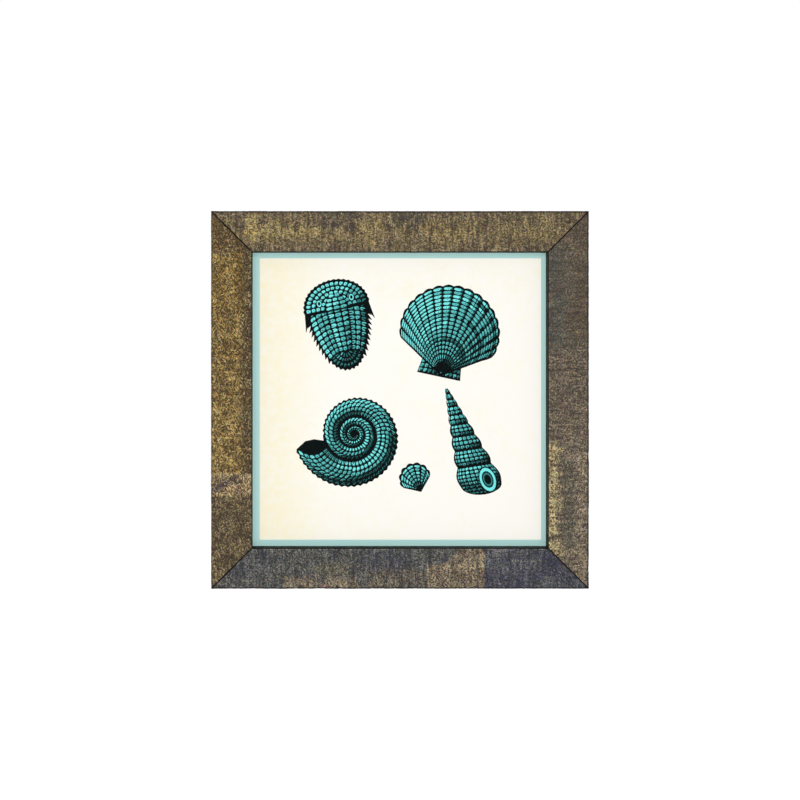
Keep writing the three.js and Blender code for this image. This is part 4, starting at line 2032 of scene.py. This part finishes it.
@dataclass
class Studio:
    """A pale studio with soft light, and the camera that looks straight at the print."""

    space: FrameSpace
    field_width: float = 0.8051
    distance: float = 0.85
    aside: Point2 = (-0.060, 0.050)
    sensor: float = 36.0
    ambient: float = 0.32
    backdrop: float = 1.02
    floor_drop: float = 1.35
    floor_radius: float = 7.0
    floor_sides: int = 96
    softboxes: tuple[Softbox, ...] = (
        Softbox("left_softbox", (-0.56, -1.35, 0.1), 0.3, 2.77),
        Softbox("upper_softbox", (0.0, -1.35, 0.56), 0.3, 2.77),
        Softbox("right_softbox", (0.72, -1.35, 0.0), 0.3, 2.03),
        Softbox("lower_softbox", (0.1, -1.35, -0.7), 0.3, 2.03),
        Softbox("front_fill", (-0.03, -1.35, 0.03), 0.24, 5.76, mirrored=False),
        Softbox("left_side_softbox", (-1.3, 0.42, 0.25), 0.6, 6.0),
        Softbox("right_side_softbox", (1.3, 0.42, 0.25), 0.6, 6.0),
        Softbox("over_softbox", (0.0, 0.42, 1.3), 0.6, 6.0),
        Softbox("back_left_softbox", (-0.9, 1.3, 0.7), 0.6, 9.5),
        Softbox("back_right_softbox", (0.9, 1.4, 0.3), 0.6, 7.0),
    )

    # The floor's painted glow, an emission though it is no lamp, below the print and far off,
    # and the distances in millimetres over which the one turns into the other.
    NEAR_GLOW = (0.42, 0.42, 0.42, 1.0)
    FAR_GLOW = (1.05, 1.05, 1.05, 1.0)
    GLOW_REACH = (500.0, 1650.0)

    def build(self) -> None:
        """Set up the camera, the light and the floor."""
        bpy.context.scene.view_settings.view_transform = "Standard"
        self._camera()
        self._world()
        for softbox in self.softboxes:
            softbox.build(Vector((0.0, self.space.front * MM, self.space.middle_z)))
        self._floor()

    def _camera(self) -> None:
        """Stand the camera square to the frame, a little left and up, and shift its view back."""
        data = bpy.data.cameras.new("view_camera")
        data.sensor_width = self.sensor
        data.lens = self.sensor * self.distance / self.field_width
        data.shift_x, data.shift_y = (-way / self.field_width for way in self.aside)
        camera = bpy.data.objects.new("view_camera", data)
        aside, up = self.aside
        camera.location = (aside, self.space.front * MM - self.distance, self.space.middle_z + up)
        camera.rotation_euler = (math.radians(90), 0.0, 0.0)
        bpy.context.scene.collection.objects.link(camera)
        bpy.context.scene.camera = camera

    def _world(self) -> None:
        """Fill the studio with even light, and let the camera see plain white behind."""
        shader = Shader("studio", Holder.WORLD)
        seen = shader.node("ShaderNodeLightPath", result="Is Camera Ray")
        soft, plain = (
            shader.node("ShaderNodeBackground", values={"Color": (1, 1, 1, 1), "Strength": power})
            for power in (self.ambient, self.backdrop)
        )
        bpy.context.scene.world = shader.blended(seen, soft, plain)

    def _floor(self) -> None:
        """Lay a pale round floor below, with a painted glow that runs out into white."""
        shader = Shader("pale_floor")
        x, y, _ = shader.spot
        trowelled = shader.noise((180.0, 180.0, 1.0), detail=3.0)
        colour = shader.mix(srgb(238, 237, 234), srgb(246, 245, 243), trowelled)
        flat = {0: shader.join(x, y, 0.0)}
        reach = shader.node("ShaderNodeVectorMath", {"operation": "LENGTH"}, flat, "Value")
        # Painted light: the floor glows, faintly below the print and white far off.
        glow = shader.mix(self.NEAR_GLOW, self.FAR_GLOW, reach.rising(*self.GLOW_REACH))
        more = {"Specular IOR Level": 0.0, "Emission Color": glow, "Emission Strength": 1.0}
        material = shader.surface(colour, 0.85, shader.bump(trowelled, 0.02), more)
        radius, height = self.floor_radius, self.space.middle_z - self.floor_drop
        sides = self.floor_sides
        ring = [(*polar(radius, math.tau * i / sides), height) for i in range(sides)]
        floor = mesh_object("studio_floor", ring, [list(range(sides))], [material])
        floor.visible_diffuse = floor.visible_glossy = False


# --- The whole print ---


@dataclass
class FramedPrint:
    """The framed print, assembled from its pieces."""

    space: FrameSpace
    moulding: Moulding = field(default_factory=Moulding)
    knots: tuple[tuple[Knot, ...], ...] = (
        (), (Knot(-96.0, 27.0, 3.2),), (Knot(118.0, 12.0, 2.2),), (Knot(52.0, 24.0, 4.0),),
    )
    cut_step: float = 13.7
    first_seed: int = 11
    seed_step: int = 7

    def build(self) -> None:
        """Build and dress every piece."""
        finishes = (self._bottom(), self._right(), self._top(), self._left())
        for i, (finish, knots) in enumerate(zip(finishes, self.knots)):
            wood = BarePine(finish.side, self.space, self.cut_step * i, knots)
            seed = self.first_seed + self.seed_step * i
            Rail(finish.side, self.space, self.moulding, finish, wood, seed).build()
        PrintedSheet(self.space).build()
        GlassAndBack().build()
        Hardware().build()

    def _bottom(self) -> RubbedBronze:
        """Give the bottom rail's finish: slate grey with gold-brown stretches."""
        brown, gold = srgb(52, 37, 34), srgb(202, 184, 148)
        slate, steel = srgb(37, 41, 54), srgb(134, 137, 144)
        return RubbedBronze(
            Side.BOTTOM, self.space, self.moulding.width, srgb(38, 43, 48), srgb(150, 151, 141),
            level=0.285, fleck_angle=28.0, fleck_edge=(0.45, 0.61), glints=0.45, spark=0.75,
            tinge=0.85, streak_depth=1.15, pale_streaks=0.55, painted_lip_highlight=0.45, lip_dark_and_shade=0.98,
            lip_lap=0.75, pale=srgb(208, 204, 186), hues=(srgb(47, 45, 58), srgb(47, 53, 50)),
            patches=(
                Patch((-190, -128), (14, 41.2), slate, steel, lift=-0.04, strength=0.5),
                Patch((-118, -84), (0, 12), brown, gold, lift=0.13, strength=0.85, soft=4),
                Patch((-76, -42), (0, 12), brown, gold, lift=0.17, strength=0.85, soft=4),
                Patch((-84, -52), (12, 26), srgb(46, 46, 40), srgb(168, 160, 126),
                      lift=0.08, strength=0.7, soft=4),
                Patch((-80, -72), (0, 5), srgb(96, 66, 60), srgb(214, 156, 142),
                      lift=0.14, strength=0.6, soft=1.6),
                Patch((-34, 10), (16, 41.2), slate, steel, lift=-0.08, strength=0.7, soft=5),
                Patch((-34, 26), (0, 20), brown, gold, strength=0.5),
                Patch((27, 86), (-8, 25), brown, gold, lift=0.13, strength=0.9, soft=1.6),
                Patch((52, 100), (16, 48), brown, gold,
                      lift=0.16, strength=0.9, soft=2.4, slant=1.2),
                Patch((85.5, 190), (-8, 48), slate, steel,
                      lift=0.03, strength=0.95, soft=0.8, spark=0.7),
                Patch((86, 142), (-8, 21), srgb(40, 40, 58), srgb(118, 120, 134),
                      lift=-0.02, strength=0.85, soft=1.5),
                Patch((112, 146), (27, 29.5), slate, srgb(176, 178, 170),
                      lift=0.3, strength=0.6, soft=1.2),
                Patch((142, 163), (14, 36), srgb(40, 40, 60), srgb(92, 94, 112),
                      lift=-0.08, strength=0.85, soft=3),
            ),
        )

    def _right(self) -> RubbedBronze:
        """Give the right rail's finish: umber, with pale flecks and a painted highlight low down by
        the lip.
        """
        umber, drab = srgb(64, 57, 48), srgb(136, 122, 100)
        grey, silver = srgb(58, 60, 56), srgb(126, 126, 114)
        return RubbedBronze(
            Side.RIGHT, self.space, self.moulding.width, srgb(54, 50, 44), srgb(168, 153, 131),
            level=0.36, fleck_angle=52.0, tinge=0.85, spark=0.6, saw_marks=0.7, painted_lip_highlight=0.7,
            lip_dark_and_shade=0.8, lip_lap=0.8, hues=(srgb(68, 50, 53), srgb(51, 53, 48)),
            patches=(
                Patch((62, 190), (-8, 26), umber, drab,
                      lift=0.03, strength=0.85, soft=9, spark=0.2),
                Patch((50, 156), (24, 48), grey, silver,
                      lift=0.01, strength=0.85, soft=8, spark=0.2),
                Patch((-176, -44), (30, 46), srgb(48, 41, 34), srgb(240, 222, 166),
                      lift=0.24, strength=0.95, soft=5),
                Patch((-190, -40), (0, 24), srgb(54, 43, 42), srgb(206, 190, 162),
                      lift=0.1, strength=0.75, soft=9),
                Patch((-150, -60), (15, 26), srgb(54, 54, 50), srgb(120, 120, 108),
                      lift=-0.1, strength=0.7, soft=4),
            ),
        )

    def _top(self) -> RubbedBronze:
        """Give the top rail's finish: taupe with a gold band along its middle."""
        brown, gold = srgb(60, 51, 37), srgb(208, 185, 120)
        return RubbedBronze(
            Side.TOP, self.space, self.moulding.width, srgb(60, 51, 43), srgb(174, 156, 118),
            level=0.34, fleck_angle=64.0, fleck_size=(2.6, 1.05), glints=0.45, spark=0.8,
            streak_depth=1.2, pale_streaks=0.75, hues=(srgb(68, 54, 54), srgb(74, 65, 42)),
            patches=(
                Patch((-176, 176), (12, 31), brown, gold, lift=0.03, strength=0.5, soft=9),
                Patch((-160, -74), (16, 28), brown, gold, lift=0.14, strength=0.8),
                Patch((-154, -144), (2, 32), brown, gold, lift=0.16, strength=0.8, soft=3),
                Patch((-38, -22), (10, 34), brown, gold, lift=0.16, strength=0.8, soft=5),
                Patch((28, 68), (14, 33), brown, gold, lift=0.1, strength=0.7, soft=7),
                Patch((-84, -44), (0, 18), srgb(54, 48, 46), srgb(124, 112, 98),
                      lift=-0.1, strength=0.7, soft=8),
                Patch((-10, 24), (0, 14), srgb(50, 50, 50), srgb(116, 112, 98),
                      lift=-0.1, strength=0.7, soft=7),
            ),
        )

    def _left(self) -> RubbedBronze:
        """Give the left rail's finish: bright rubbed bronze that ends in a dark foot."""
        plum, lilac = srgb(40, 33, 44), srgb(126, 112, 116)
        return RubbedBronze(
            Side.LEFT, self.space, self.moulding.width, srgb(56, 40, 22), srgb(214, 182, 104),
            level=0.43, fleck_angle=38.0, fleck_size=(3.4, 1.1), fleck_edge=(0.47, 0.61),
            glints=0.5, comb=6.0, tinge=1.2, streak_depth=0.5, cloud_depth=0.7, pale_streaks=0.1,
            saw_marks=0.2, edge_dark=0.4, lip_dark_and_shade=0.55, lip_lap=0.6,
            hues=(srgb(56, 34, 28), srgb(58, 48, 24)),
            patches=(
                Patch((-190, -96), (0, 41.2), srgb(52, 44, 35), srgb(150, 132, 98),
                      lift=-0.08, strength=0.95, soft=2),
                Patch((-96, -74), (0, 41.2), srgb(54, 42, 38), srgb(236, 208, 158),
                      lift=0.12, strength=0.9, soft=2),
                Patch((-88, -81), (2, 26), plum, lilac,
                      lift=-0.24, strength=0.8, soft=2.5, slant=0.48),
                Patch((84, 142), (0, 36), srgb(66, 48, 18), srgb(184, 150, 70),
                      strength=0.8, soft=12),
                Patch((2, 76), (0, 36), srgb(54, 39, 22), srgb(206, 174, 98),
                      lift=-0.05, strength=0.8, soft=12),
                Patch((-75, 160), (32, 45), srgb(46, 39, 29), srgb(140, 122, 82),
                      lift=-0.12, strength=0.85, soft=4),
                Patch((148, 190), (0, 41.2), srgb(60, 46, 28), srgb(136, 110, 66),
                      lift=-0.14, strength=0.8, soft=8),
            ),
        )


def main() -> None:
    """Build the studio and the framed print, and note the visual model's size."""
    logging.basicConfig(level=logging.INFO, format="%(name)s %(message)s")
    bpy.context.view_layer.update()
    space = FrameSpace.measured()
    Studio(space).build()
    FramedPrint(space).build()


if __name__ == "__main__":
    main()
